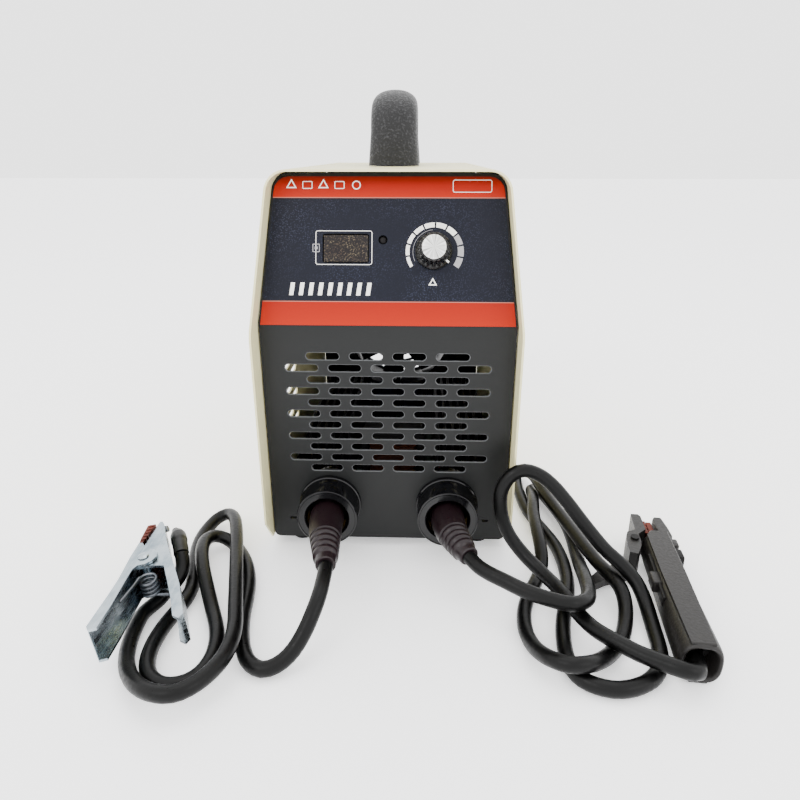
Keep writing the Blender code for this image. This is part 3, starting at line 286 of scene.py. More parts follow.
def make_finishes():
    """Every finish of the object by name."""
    knob_centre = SLOPE @ Vector((KNOB_X, KNOB_S, 0.0))
    return {
        "cover": surface("cover_paint", linear(222, 215, 168), 0.42, grain=1500.0,
                         bump=0.22, mottle=0.03, shine=0.35),
        "panel": surface("panel_paint", linear(20, 21, 21), 0.42, grain=1700.0, bump=0.16,
                         mottle=0.06, shine=0.22),
        # slot walls: bare edge with a painted highlight
        "bare_edge_and_highlight": surface("cut_edge_and_highlight", linear(88, 90, 92), 0.42, mottle=0.05),
        "chassis": surface("chassis_paint", linear(24, 25, 27), 0.5, grain=1500.0,
                           shine=0.2),
        "label": label_film(),
        "print_white": surface("print_white", linear(246, 244, 238), 0.45, mottle=0.02),
        "print_grey": surface("print_grey", linear(150, 148, 150), 0.45, mottle=0.03),
        "lens": speckled_lens(),
        "lamp": surface("lamp_lens", linear(12, 10, 11), 0.42, shine=0.15),
        # grip: the grain's tops carry a painted highlight
        "grip": grained_plastic("handle_grain_highlight", linear(9, 9, 10), linear(44, 44, 46), 0.44),
        "gloss": surface("gloss_black", linear(6, 6, 8), 0.14, grain=500.0, bump=0.03,
                         mottle=0.10, vary=0.05, shine=0.35),
        "knob": surface("knob_black", linear(12, 12, 13), 0.30, grain=700.0, bump=0.06,
                        shine=0.35),
        # knob disc: spun grain with painted reflection rays
        "silver": spun_metal("knob_disc", linear(240, 240, 236), knob_centre, 0.30),
        "rubber": surface("foot_rubber", linear(16, 16, 17), 0.65, grain=900.0, bump=0.4,
                          shine=0.15),
        "sleeve": surface("plug_rubber", linear(20, 9, 13), 0.34, grain=800.0, bump=0.10,
                          mottle=0.14, shine=0.28),
        "sleeve_end": surface("plug_end_rubber", linear(11, 10, 11), 0.4, grain=800.0,
                              bump=0.10, shine=0.3),
        "cable": surface("cable_sheath", linear(3, 3, 3), 0.36, grain=520.0, bump=0.22,
                         depth=0.0004, mottle=0.14, mottle_scale=120.0, vary=0.09,
                         shine=0.16),
        "brass": worn_metal("turned_brass", linear(214, 176, 104), linear(140, 104, 52),
                            0.26, (1.0, 1.0, 6.0)),
        "copper": worn_metal("red_copper", linear(104, 38, 20), linear(46, 17, 10), 0.34,
                             (1.0, 1.0, 5.0)),
        "zinc": worn_metal("zinc_plate", linear(166, 176, 182), linear(120, 134, 144), 0.22,
                           (3.0, 0.4, 3.0)),
        "steel": worn_metal("plain_steel", linear(110, 114, 120), linear(70, 72, 76), 0.34,
                            (1.0, 1.0, 5.0)),
        "holder": surface("holder_moulding", linear(22, 20, 19), 0.46, grain=640.0,
                          bump=0.35, depth=0.0005, mottle=0.10, mottle_scale=90.0,
                          shine=0.30),
        # darker, duller copy of the holder moulding: painted shade for its foot, rear seal,
        # side channel, rear side lug and pivot
        "holder_painted_shade": surface("holder_recess_shade", linear(14, 13, 13), 0.55, grain=640.0,
                               bump=0.35, shine=0.15),
        "board": surface("circuit_board", linear(14, 48, 28), 0.45, mottle=0.25,
                         mottle_scale=260.0, shine=0.2),
        "aluminium": worn_metal("extruded_aluminium", linear(190, 192, 194),
                                linear(150, 152, 156), 0.34, (6.0, 0.4, 6.0)),
        "anodised": surface("black_anodised", linear(16, 16, 18), 0.45, shine=0.2),
        "winding": surface("varnished_wire", linear(58, 26, 12), 0.40, grain=520.0,
                           bump=0.9, depth=0.0010, stretch=(1.0, 1.0, 5.0), mottle=0.25,
                           shine=0.2),
        "ferrite": surface("ferrite", linear(30, 30, 31), 0.6, bump=0.4, shine=0.15),
        "can": surface("capacitor_sleeve", linear(14, 15, 30), 0.34, shine=0.2),
        "fan": surface("fan_moulding", linear(11, 11, 12), 0.45, bump=0.2, shine=0.2),
        "red": surface("rocker_red", linear(176, 20, 16), 0.25, shine=0.4),
        "floor": surface("floor_white", linear(252, 252, 253), 0.65, bump=0.0, mottle=0.0,
                         vary=0.0, shine=0.0),
    }


# ------------------------------------------------------------------ shape helpers
def place(obj, mat, body="machine", stands_for=(), slot=None):
    """Link a finished piece, give it its material and make it ride on its body."""
    if obj.name not in bpy.context.scene.collection.all_objects:
        bpy.context.scene.collection.objects.link(obj)
    obj.data.materials.clear()
    obj.data.materials.append(mat)
    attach(obj, body)
    if stands_for:
        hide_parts(*stands_for)
    return obj


def mesh_object(name, bm, matrix=None, degrees=38):
    """Object from a bmesh, moved into the machine's frame, with real edges kept sharp."""
    bmesh.ops.recalc_face_normals(bm, faces=bm.faces)
    if matrix is not None:
        bm.transform(matrix)
    mesh = bpy.data.meshes.new(name)
    bm.to_mesh(mesh)
    bm.free()
    mesh.shade_smooth()
    mesh.set_sharp_from_angle(angle=math.radians(degrees))
    return bpy.data.objects.new(name, mesh)


def soften(obj, width, segments=2):
    """Round a piece's edges."""
    mod = obj.modifiers.new("round_edges", "BEVEL")
    mod.width = width
    mod.segments = segments
    mod.limit_method = "ANGLE"
    mod.angle_limit = math.radians(38)
    return obj


def turned(name, profile, matrix, steps=64):
    """Turned piece about local Z from a closed profile of (radius, height) points."""
    bm = bmesh.new()
    rows = []
    for radius, height in profile:
        if radius < 1e-6:
            rows.append([bm.verts.new((0, 0, height))])
            continue
        rows.append([bm.verts.new((radius * math.cos(2 * math.pi * i / steps),
                                   radius * math.sin(2 * math.pi * i / steps), height))
                     for i in range(steps)])
    pairs = list(zip(rows, rows[1:]))
    if len(rows[0]) > 1:
        pairs.append((rows[-1], rows[0]))
    for low, high in pairs:
        for i in range(steps):
            j = (i + 1) % steps
            corners = [low[i % len(low)], low[j % len(low)],
                       high[j % len(high)], high[i % len(high)]]
            face = list(dict.fromkeys(corners))
            if len(face) > 2:
                bm.faces.new(face)
    return mesh_object(name, bm, matrix, 30)


def ring_loft(name, rings, matrix=None, degrees=38):
    """Closed solid through rings of equal point count."""
    bm = bmesh.new()
    rows = [[bm.verts.new(p) for p in ring] for ring in rings]
    count = len(rings[0])
    for low, high in zip(rows, rows[1:]):
        for i in range(count):
            j = (i + 1) % count
            bm.faces.new((low[i], low[j], high[j], high[i]))
    bm.faces.new(list(reversed(rows[0])))
    bm.faces.new(rows[-1])
    return mesh_object(name, bm, matrix, degrees)


def flat_mesh(name, loops, thickness):
    """bmesh of a flat sheet from outlines and holes, centred on z = 0."""
    curve = bpy.data.curves.new(name, "CURVE")
    curve.dimensions = "2D"
    curve.fill_mode = "BOTH"
    curve.extrude = thickness / 2
    for loop in loops:
        spline = curve.splines.new("POLY")
        spline.points.add(len(loop) - 1)
        for point, (x, y) in zip(spline.points, loop):
            point.co = (x, y, 0.0, 1.0)
        spline.use_cyclic_u = True
    helper = bpy.data.objects.new(name + "_outline", curve)
    bpy.context.scene.collection.objects.link(helper)
    bpy.context.view_layer.update()
    depsgraph = bpy.context.evaluated_depsgraph_get()
    mesh = bpy.data.meshes.new_from_object(helper.evaluated_get(depsgraph))
    bpy.data.objects.remove(helper, do_unlink=True)
    bpy.data.curves.remove(curve)
    bm = bmesh.new()
    bm.from_mesh(mesh)
    bpy.data.meshes.remove(mesh)
    bmesh.ops.remove_doubles(bm, verts=bm.verts, dist=0.000002)
    return bm


def sheet_piece(name, loops, thickness, matrix):
    """Flat sheet piece placed by a matrix."""
    return mesh_object(name, flat_mesh(name, loops, thickness), matrix)


def block(name, size, matrix, edge=0.0):
    """Rectangular block with rounded edges, built in place."""
    bm = bmesh.new()
    bmesh.ops.create_cube(bm, size=1.0)
    bmesh.ops.scale(bm, vec=Vector(size), verts=bm.verts)
    if edge:
        bmesh.ops.bevel(bm, geom=list(bm.edges), offset=edge, segments=3, profile=0.5,
                        affect="EDGES")
    return mesh_object(name, bm, matrix)


def tube(name, points, radius, level=5):
    """Round wire, bar or cable as a curve of one open spline."""
    curve = bpy.data.curves.new(name, "CURVE")
    curve.dimensions = "3D"
    curve.bevel_depth = radius
    curve.bevel_resolution = level
    curve.use_fill_caps = True
    spline = curve.splines.new("POLY")
    spline.points.add(len(points) - 1)
    for point, co in zip(spline.points, points):
        point.co = (*co, 1.0)
    spline.use_smooth = True
    return bpy.data.objects.new(name, curve)


def circle(radius, centre=(0.0, 0.0), count=48):
    """Points of a circle in the plane."""
    return [(centre[0] + radius * math.cos(2 * math.pi * i / count),
             centre[1] + radius * math.sin(2 * math.pi * i / count))
            for i in range(count)]


def arc_band(inner, outer, start, stop, centre, steps=6):
    """Points of a piece of a ring between two angles in degrees."""
    angles = [math.radians(start + (stop - start) * i / steps) for i in range(steps + 1)]
    points = [(centre[0] + outer * math.cos(a), centre[1] + outer * math.sin(a))
              for a in angles]
    return points + [(centre[0] + inner * math.cos(a), centre[1] + inner * math.sin(a))
                     for a in reversed(angles)]


def rounded_rect(width, height, radius, centre=(0.0, 0.0), per_corner=6):
    """Points of a rectangle with round corners."""
    points = []
    for k, (sx, sy) in enumerate(((1, 1), (-1, 1), (-1, -1), (1, -1))):
        ox = centre[0] + sx * (width / 2 - radius)
        oy = centre[1] + sy * (height / 2 - radius)
        for i in range(per_corner + 1):
            angle = math.pi / 2 * (k + i / per_corner)
            points.append((ox + radius * math.cos(angle), oy + radius * math.sin(angle)))
    return points


def mirrored(points):
    """A right half outline followed by its left half, as one closed loop."""
    return points + [(-x, y) for x, y in reversed(points)]


def curve_through(points, spacing):
    """Evenly spaced points about a spacing apart on a smooth curve, from mm to m."""
    knots = [Vector(p) * MM for p in points]
    knots = [2 * knots[0] - knots[1]] + knots + [2 * knots[-1] - knots[-2]]
    dense = []
    for a, b, c, d in zip(knots, knots[1:], knots[2:], knots[3:]):
        for i in range(16):
            t = i / 16
            dense.append(0.5 * (2 * b + (c - a) * t + (2 * a - 5 * b + 4 * c - d) * t * t
                                + (3 * b - a - 3 * c + d) * t ** 3))
    dense.append(knots[-2])
    for _ in range(6):
        dense = [dense[0]] + [(p + 2 * q + r) / 4 for p, q, r in
                              zip(dense, dense[1:], dense[2:])] + [dense[-1]]
    total = sum((q - p).length for p, q in zip(dense, dense[1:]))
    count = round(total / spacing)
    step = total / count
    out, walked = [dense[0]], 0.0
    for p, q in zip(dense, dense[1:]):
        run = (q - p).length
        while run > 0 and walked + run >= step * len(out) and len(out) < count:
            out.append(p.lerp(q, (step * len(out) - walked) / run))
        walked += run
    out.append(dense[-1])
    return out


def swept_rings(path, radii, count=48):
    """Rings square to a path that stays near horizontal."""
    rings = []
    for i, (point, radius) in enumerate(zip(path, radii)):
        along = (path[min(i + 1, len(path) - 1)] - path[max(i - 1, 0)]).normalized()
        side = along.cross(Vector((0, 0, 1))).normalized()
        up = side.cross(along)
        rings.append([point + side * x + up * y for x, y in circle(radius, count=count)])
    return rings


def scaled(points):
    """Plan points in mm to metres."""
    return [(x * MM, y * MM) for x, y in points]


def facing_front(x, y, z):
    """Matrix that points a piece made about +Z out of the front panel."""
    return Matrix.Translation((x, y, z)) @ Matrix.Rotation(math.pi / 2, 4, "X")


def facing_rear(x, y, z):
    """Matrix that points a piece made about +Z out of the rear panel."""
    return Matrix.Translation((x, y, z)) @ Matrix.Rotation(-math.pi / 2, 4, "X")


# ------------------------------------------------------------------ leads
EARTH_ROUTE = [                    # centre line of the earth lead, in mm
    (-30.9, -187, 30.6), (-30.2, -192.6, 30.2), (-30.2, -199.6, 29.4), (-30.9, -210.2, 27.2),
    (-33.2, -218.7, 22.6), (-36.8, -225.2, 16), (-41.8, -231.2, 9.8), (-48.2, -235.8, 6),
    (-55.8, -237.6, 4.6), (-63.3, -232.7, 4.6), (-68.3, -223.3, 4.6), (-71.6, -212.7, 4.6),
    (-74.2, -200, 4.6), (-76, -185, 4.6), (-78.6, -170.2, 4.6), (-84, -154.3, 4.6),
    (-92.4, -140, 5), (-101.8, -131.2, 6.6), (-109.6, -131.2, 9.2), (-112.8, -139.3, 11.4),
    (-111.2, -151.4, 12.6), (-106.9, -164.4, 12.2), (-101.8, -176, 10.2),
    (-96.9, -186.2, 7.2), (-91.8, -196.6, 4.9), (-86.4, -208.2, 4.6), (-82.9, -219.1, 4.6),
    (-81.8, -230, 4.6), (-83.3, -239, 4.6), (-87.2, -245.3, 4.6), (-93.1, -248.6, 4.6),
    (-100.2, -248.6, 4.6), (-107.1, -244.1, 4.6), (-111.8, -236, 4.6), (-114, -226, 4.6),
    (-114.1, -215.3, 4.6), (-112.9, -205.2, 4.6), (-111, -195.9, 4.6), (-109.6, -186.8, 4.6),
    (-109.8, -175.9, 4.6), (-113.6, -161.9, 4.6), (-118, -145.2, 4.6), (-120.5, -129.8, 4.6),
    (-119.4, -115.8, 5.2), (-115.2, -106.6, 7.2), (-108.4, -105.6, 9.8),
    (-101.2, -115.6, 12.6), (-95, -133.6, 13.6), (-89.2, -155.7, 13.2), (-83, -179.4, 13.2),
    (-77.4, -201, 13.2), (-73.4, -216.6, 13.2), (-71.9, -228.9, 13.2), (-72.9, -240.1, 13.2),
    (-76.4, -249.6, 13.2), (-81.4, -257, 13.2), (-88, -261.6, 13), (-96.2, -261.6, 12.6),
    (-106.2, -256.5, 10.8), (-115.7, -246.3, 7.6), (-122.7, -234.2, 5),
    (-126.4, -222.3, 4.6), (-128.2, -210.2, 4.6), (-128.4, -199, 4.6), (-124.2, -189.6, 5),
    (-122.1, -182.7, 6), (-119.4, -177.1, 7.5), (-117.5, -172.2, 9.6),
    (-117.4, -168.1, 12.1), (-118.4, -164.7, 14.7), (-119.6, -162, 16.6)]

ELECTRODE_ROUTE = [                # centre line of the electrode lead, in mm
    (44.2, -173.5, 29.6), (47.9, -179.6, 28.8), (51.6, -185.2, 28.1), (57.2, -190.2, 27.4),
    (64, -194.8, 26.8), (70.8, -199.2, 25.8), (77.9, -202.8, 24.9), (85.9, -205.6, 24),
    (93.9, -207.6, 23.2), (100.6, -206.4, 22.4), (106.9, -199.6, 20.2), (110.3, -187.9, 17),
    (112.3, -171.8, 13.8), (114, -156, 9.4), (116, -136.4, 5.4), (117.3, -116.4, 4.6),
    (116.4, -98.8, 4.6), (112.9, -80.5, 4.6), (109.6, -67, 4.6), (107, -58.2, 4.6),
    (103.6, -55, 4.7), (100.8, -58, 5.8), (99.6, -66, 8.2), (98.6, -77.5, 11.2),
    (96.6, -91.5, 13.2), (94.7, -105.2, 13.4), (93.6, -123.9, 13.4), (93.4, -138.4, 11.6),
    (93, -148.2, 8), (91, -156, 5.2), (86.6, -165.8, 4.6), (81.4, -176.8, 4.6),
    (77.7, -186.8, 4.6), (75.6, -196.3, 4.6), (75, -206.5, 4.6), (76.4, -216.2, 5.2),
    (79, -226.3, 8.4), (83.4, -235, 12.2), (90, -239.4, 13.6), (98.2, -238.2, 13),
    (106.8, -231.2, 9), (115.9, -220.5, 4.9), (123.2, -210.4, 4.6), (128.4, -198.5, 5),
    (130.8, -188.6, 8.4), (130.4, -179.6, 12.2), (127.2, -169.4, 13.4), (123.4, -159.2, 13.6),
    (119.6, -145.1, 14.2), (116.6, -129.4, 14.2), (113.4, -113.8, 14.2),
    (110.3, -100.7, 14.6), (106.9, -86.8, 15.6), (104.2, -69.6, 16.2), (102.6, -54, 14.6),
    (101.4, -41.5, 10.8), (99.4, -33, 7), (96, -30.2, 4.9), (93.2, -34.6, 4.6),
    (92.3, -45, 4.6), (92, -58, 4.6), (92.4, -72.2, 4.6), (94, -86.9, 4.6),
    (97.2, -99.7, 4.6), (101, -112.3, 4.6), (104.6, -125.6, 4.6), (106.2, -140.2, 4.6),
    (106, -155.3, 4.6), (104.6, -167.9, 4.6), (101.7, -179.7, 4.6), (97.9, -191.6, 4.6),
    (95.1, -202.1, 4.6), (93.2, -213.2, 4.6), (92.4, -223.7, 4.6), (93.4, -232.9, 4.6),
    (97.1, -239.2, 4.6), (103.6, -243.1, 4.6), (112.3, -244.7, 4.6), (122.2, -242.2, 4.6),
    (131, -236.4, 4.6), (137, -227.3, 4.6), (139.8, -216.9, 4.6), (141.2, -205.7, 4.8),
    (142, -194.6, 6.4), (141.4, -185.3, 10.4), (138.8, -177.6, 15.4), (132.2, -170.8, 21.4),
    (124.2, -165.2, 27), (116.6, -160.3, 34.8), (109.4, -156, 43), (102.5, -151.8, 51),
    (95.2, -148.4, 58.5), (87.5, -146.4, 64), (78.4, -146, 66.5), (71, -147, 63),
    (66.6, -148.2, 55.5), (66, -149, 47), (67.7, -150.4, 37), (72.2, -153.2, 27.2),
    (79.9, -159.8, 19.2), (87.8, -168.9, 15), (94.6, -180.6, 13.4), (98.9, -192.3, 13.2),
    (102.9, -203.9, 12.9), (107, -213.5, 13.4), (112.3, -220.9, 14.1), (118.6, -227, 14.2),
    (124.9, -232, 14), (131.3, -236.4, 14.4), (137.2, -240.8, 15.2), (143, -243, 14.8),
    (147.8, -241.9, 13.6), (150.6, -233, 12.6), (151.6, -225, 12)]

LEAD_STEP = 0.0035                 # distance between the points of a lead


def make_leads(look):
    """The two welding leads as free cords, from plug sleeve to tool."""
    leads = {}
    for name, route in (("earth", EARTH_ROUTE), ("electrode", ELECTRODE_ROUTE)):
        lead = tube(f"{name}_lead", curve_through(route, LEAD_STEP), CABLE_R, 6)
        place(lead, look["cable"], stands_for=[f"{name}_cable"], slot="cable_rubber")
        leads[name] = lead
    return leads


PLUG_PATHS = {                     # centre line of each rubber sleeve, in mm
    "left": [(-36.2, -129.5, 31.0), (-36.2, -136.0, 31.0), (-36.1, -144.0, 31.0),
             (-35.4, -155.0, 31.0), (-33.8, -167.0, 31.0), (-32.0, -179.0, 30.8),
             (-30.4, -190.0, 30.4)],
    "right": [(36.2, -129.5, 31.0), (36.2, -136.0, 31.0), (36.4, -144.0, 31.0),
              (37.6, -153.0, 30.8), (40.0, -161.5, 30.4), (43.2, -169.5, 29.8),
              (47.0, -177.5, 29.0)],
}
PLUG_RADII = [(0.0, 9.6), (0.06, 10.2), (0.22, 10.2), (0.30, 10.0), (0.52, 9.4),
              (0.60, 8.9), (0.80, 7.6), (0.90, 6.9), (0.905, 6.0), (0.99, 5.6), (1.0, 5.2)]
RIBS_FROM, RIBS_TO, RIB_COUNT = 0.60, 0.90, 4
RIB_DEPTH = 1.0                    # mm
SLEEVE_STEP = 0.0006               # distance between the rings of a sleeve


def profile_at(table, t):
    """Value of a (place, value) table at t, straight between its rows."""
    for (t0, v0), (t1, v1) in zip(table, table[1:]):
        if t <= t1:
            return v0 + (v1 - v0) * (t - t0) / (t1 - t0)
    return table[-1][1]


def make_plugs(look):
    """Rubber plug sleeves with a collar, a waist and bending ribs, and their pins."""
    sleeves = {}
    for side, path in PLUG_PATHS.items():
        points = curve_through(path, SLEEVE_STEP)
        radii = []
        for i in range(len(points)):
            t = i / (len(points) - 1)
            radius = profile_at(PLUG_RADII, t)
            if RIBS_FROM < t < RIBS_TO:
                turn = RIB_COUNT * (t - RIBS_FROM) / (RIBS_TO - RIBS_FROM)
                radius -= RIB_DEPTH * (0.5 + 0.5 * math.cos(2 * math.pi * turn)) ** 3
            radii.append(radius * MM)
        sleeve = ring_loft(f"plug_grip_{side}", swept_rings(points, radii), None, 50)
        place(sleeve, look["sleeve"], stands_for=[f"plug_sleeve_{side}"],
              slot="plug_rubber")
        sleeves[side] = sleeve
        x = points[0].x
        pin = [(0.0, 0.0042), (0.0058, 0.0042), (0.0062, 0.0038), (0.0062, -0.0160),
               (0.0056, -0.0186), (0.0046, -0.0190), (0.0, -0.0190)]
        place(turned(f"plug_tip_{side}", pin, facing_front(x, PANEL_Y, SOCKET_Z), 40),
              look["brass"], stands_for=[f"plug_pin_{side}"], slot="brass")
    return sleeves


def make_sockets(look):
    """Glossy socket rings with a grooved lip, and turned brass inserts."""
    for side, x in (("left", -SOCKET_X), ("right", SOCKET_X)):
        at = facing_front(x, PANEL_Y, SOCKET_Z)
        shell = [(0.0168, 0.0190), (0.0169, 0.0186), (0.0172, 0.0186), (0.0173, 0.0190),
                 (0.0178, 0.0190), (0.0181, 0.0188), (0.0182, 0.0184), (0.0182, 0.0040),
                 (0.0184, 0.0034), (0.0190, 0.0031), (0.0192, 0.0026),
                 (0.0192, 0.0004), (0.0155, 0.0004), (0.0155, -0.0200), (0.0110, -0.0200),
                 (0.0110, 0.0010), (0.0126, 0.0024), (0.0128, 0.0040), (0.0128, 0.0160),
                 (0.0129, 0.0180), (0.0131, 0.0187), (0.0136, 0.0190)]
        place(turned(f"socket_ring_{side}", shell, at, 96), look["gloss"],
              stands_for=[f"socket_{side}"], slot="black_gloss")
        insert = [(0.0104, 0.0000), (0.0106, -0.0003), (0.0106, -0.0240),
                  (0.0068, -0.0240), (0.0068, -0.0010), (0.0078, 0.0000)]
        place(turned(f"socket_insert_{side}", insert, at, 64), look["brass"],
              stands_for=[f"socket_contact_{side}"], slot="brass")


# ------------------------------------------------------------------ case
SLOT_W, SLOT_H, SLOT_END = 0.0198, 0.0050, 0.00249
SLOT_ROWS, TOP_SLOT_Z = 11, 0.1266
SLOT_STEP_X, SLOT_STEP_Z = 0.0250, 0.00713
EDGE_W = 0.00028                   # width of the lighter wall seen inside a slot: bare edge, with a painted highlight
PANEL_CORNER = 0.009


def panel_slots(inset=0.0):
    """Vent slots of the lower front panel, in panel height coordinates."""
    slots = []
    for row in range(SLOT_ROWS):
        z = TOP_SLOT_Z - row * SLOT_STEP_Z
        columns = 4 if row % 2 == 0 else 5
        for column in range(columns):
            x = (column - (columns - 1) / 2) * SLOT_STEP_X
            slots.append(rounded_rect(SLOT_W - 2 * inset, SLOT_H - 2 * inset,
                                      SLOT_END - inset, (x, z), 7))
    return slots


def make_front_panel(look):
    """Bent front panel with round-ended vent slots and their lighter walls: bare edge, with a
    painted highlight.
    """
    half = CASE_W / 2 - SHEET - PANEL_GAP
    top = FOLD_Z + SLOPE_LEN
    drop = TAPER * SLOPE_LEN * math.cos(LEAN) / (CASE_TOP - FOLD_Z)
    right = [(half - 0.003, PANEL_BOTTOM), (half - 0.0009, PANEL_BOTTOM + 0.0009),
             (half, PANEL_BOTTOM + 0.003), (half, FOLD_Z)]
    for i in range(13):
        angle = math.pi / 2 * i / 12
        right.append((half - drop - PANEL_CORNER + PANEL_CORNER * math.cos(angle),
                      top - PANEL_CORNER + PANEL_CORNER * math.sin(angle)))
    loops = [mirrored(right)] + panel_slots()
    for side in (-1, 1):
        loops.append(circle(0.0160, (side * SOCKET_X, SOCKET_Z), 64))
        loops.append(rounded_rect(0.0042, 0.0016, 0.0007, (side * 0.0605, 0.0195)))
    loops.append(rounded_rect(0.0262, 0.0162, 0.001, (DISPLAY_X, FOLD_Z + DISPLAY_S)))
    loops.append(circle(0.0042, (KNOB_X, FOLD_Z + KNOB_S), 32))
    loops.append(circle(0.0026, (LAMP_X, FOLD_Z + LAMP_S), 24))
    bm = flat_mesh("front_panel_fine", loops, PANEL_T)
    bmesh.ops.bisect_plane(bm, geom=list(bm.verts) + list(bm.edges) + list(bm.faces),
                           dist=0.000001, plane_co=(0, FOLD_Z, 0), plane_no=(0, 1, 0))
    pivot = Matrix.Translation((0, FOLD_Z, PANEL_T / 2))
    bend = pivot @ Matrix.Rotation(-LEAN, 4, "X") @ pivot.inverted()
    above = [v for v in bm.verts if v.co.y > FOLD_Z + 0.00001]
    bmesh.ops.transform(bm, matrix=bend, verts=above)
    upright = facing_front(0.0, PANEL_Y + PANEL_T / 2, 0.0)
    panel = mesh_object("front_panel_fine", bm, upright, 30)
    place(soften(panel, 0.00022), look["panel"], stands_for=["front_panel"], slot="panel_paint")
    # The slot walls take a lighter grey: the bare cut edge, partly a painted highlight where
    # the walls face the light.
    edges = panel_slots() + panel_slots(EDGE_W)
    place(sheet_piece("slot_walls_lit", edges, PANEL_T - 0.0005, upright), look["bare_edge_and_highlight"],
          slot="steel")


def handle_ring(t, around):
    """Section of the carrying handle at t from its front foot to its rear foot."""
    foot_z = CASE_TOP + 0.0004
    front_y, rear_y = PANEL_Y + 0.0880, 0.0900
    mid_y, span = (front_y + rear_y) / 2, (rear_y - front_y) / 2
    rise, bar = 0.2755 - foot_z, 0.0100
    angle = math.pi * t
    c, s = math.cos(angle), math.sin(angle)
    cy = mid_y - (span - bar) * math.copysign(abs(c) ** 0.42, c)
    cz = foot_z + (rise - bar) * abs(s) ** 0.42
    foot = max(0.0, 1.0 - (cz - foot_z) / 0.020)
    half_w, half_t = 0.0150 + 0.0016 * foot, bar + 0.0018 * foot
    normal = Vector((0.0, -math.copysign(abs(c) ** 1.6, c), abs(s) ** 1.6)).normalized()
    if t in (0.0, 1.0):
        normal = Vector((0.0, -1.0 if t == 0.0 else 1.0, 0.0))
        cz = foot_z
    ring = []
    for k in range(around):
        a = 2 * math.pi * k / around
        ux = math.copysign(abs(math.cos(a)) ** 0.9, math.cos(a)) * half_w
        uy = math.copysign(abs(math.sin(a)) ** 0.9, math.sin(a)) * half_t
        ring.append(Vector((ux, cy, cz)) + normal * uy)
    return ring


def make_handle(look):
    """Smooth grained carrying handle."""
    stations = [0.5 - 0.5 * math.copysign(abs(math.cos(math.pi * i / 90)) ** 0.6,
                                          math.cos(math.pi * i / 90)) for i in range(91)]
    rings = [handle_ring(min(1.0, max(0.0, t)), 56) for t in stations]
    place(ring_loft("handle_moulding", rings, None, 60), look["grip"],
          stands_for=["carry_handle"], slot="grip_plastic")


def make_label(look):
    """Printing on the sloping film: frames, scale and neutral marks, no lettering."""
    lift = 0.00075
    ink = SLOPE @ Matrix.Translation((0, 0, lift))
    thick = 0.00006

    def printed(name, loops, mat):
        place(sheet_piece(name, loops, thick, ink), look[mat], slot="label_film")

    def framed(width, height, radius, at, stroke, inner_radius):
        return [rounded_rect(width, height, radius, at),
                rounded_rect(width - 2 * stroke, height - 2 * stroke, inner_radius, at)]

    printed("display_frame", framed(0.0318, 0.0190, 0.0014, (-0.0248, 0.0438), 0.0003,
                                    0.0011), "print_white")
    box_at = (-0.0404, 0.0436)
    printed("unit_box", framed(0.0040, 0.0046, 0.0003, box_at, 0.00035, 0.0002)
            + [rounded_rect(0.0016, 0.0016, 0.0003, box_at)], "print_grey")
    centre = (KNOB_X + 0.0006, KNOB_S - 0.0002)
    marks, white_marks, outer, half_angle = 10, 7, 0.0162, 10.8
    for i in range(marks):
        at = 202.0 - 226.0 * i / (marks - 1)
        swell = 0.0019 + 0.0016 * i / (marks - 1)
        printed(f"scale_mark_{i + 1}",
                [arc_band(outer - swell, outer, at - half_angle, at + half_angle, centre)],
                "print_white" if i < white_marks else "print_grey")
    printed("scale_line", [arc_band(0.0121, 0.0123, 96.0, 206.0, centre, 24)],
            "print_grey")

    def triangle(size, at):
        return [(at[0] + size * math.cos(a), at[1] + size * math.sin(a))
                for a in (math.pi * (0.5 + 2 * k / 3) for k in range(3))]

    under_knob = (KNOB_X - 0.0003, 0.0245)
    printed("scale_symbol", [triangle(0.0028, under_knob), triangle(0.0016, under_knob)],
            "print_white")
    row = 0.0785
    for i, x in enumerate((-0.0545, -0.0455, -0.0365, -0.0275, -0.0180)):
        if i in (0, 2):
            loops = [triangle(0.0034, (x, row)), triangle(0.0023, (x, row))]
        elif i == 4:
            loops = [circle(0.0024, (x, row), 32), circle(0.0019, (x, row), 32)]
        else:
            loops = framed(0.0056, 0.0042, 0.0006, (x, row), 0.00035, 0.0004)
        printed(f"panel_mark_{i + 1}", loops, "print_white")
    printed("badge_outline", framed(0.0217, 0.0070, 0.0012, (0.0466, 0.0780), 0.0003,
                                    0.0009), "print_white")
    stripe, low, high, slant = 0.0023, 0.0172, 0.0243, 0.0010
    stripes = []
    for i in range(9):
        x = -0.0555 + 0.0054 * i
        stripes.append([(x, low), (x + stripe, low), (x + stripe + slant, high),
                        (x + slant, high)])
    printed("series_stripes", stripes, "print_white")


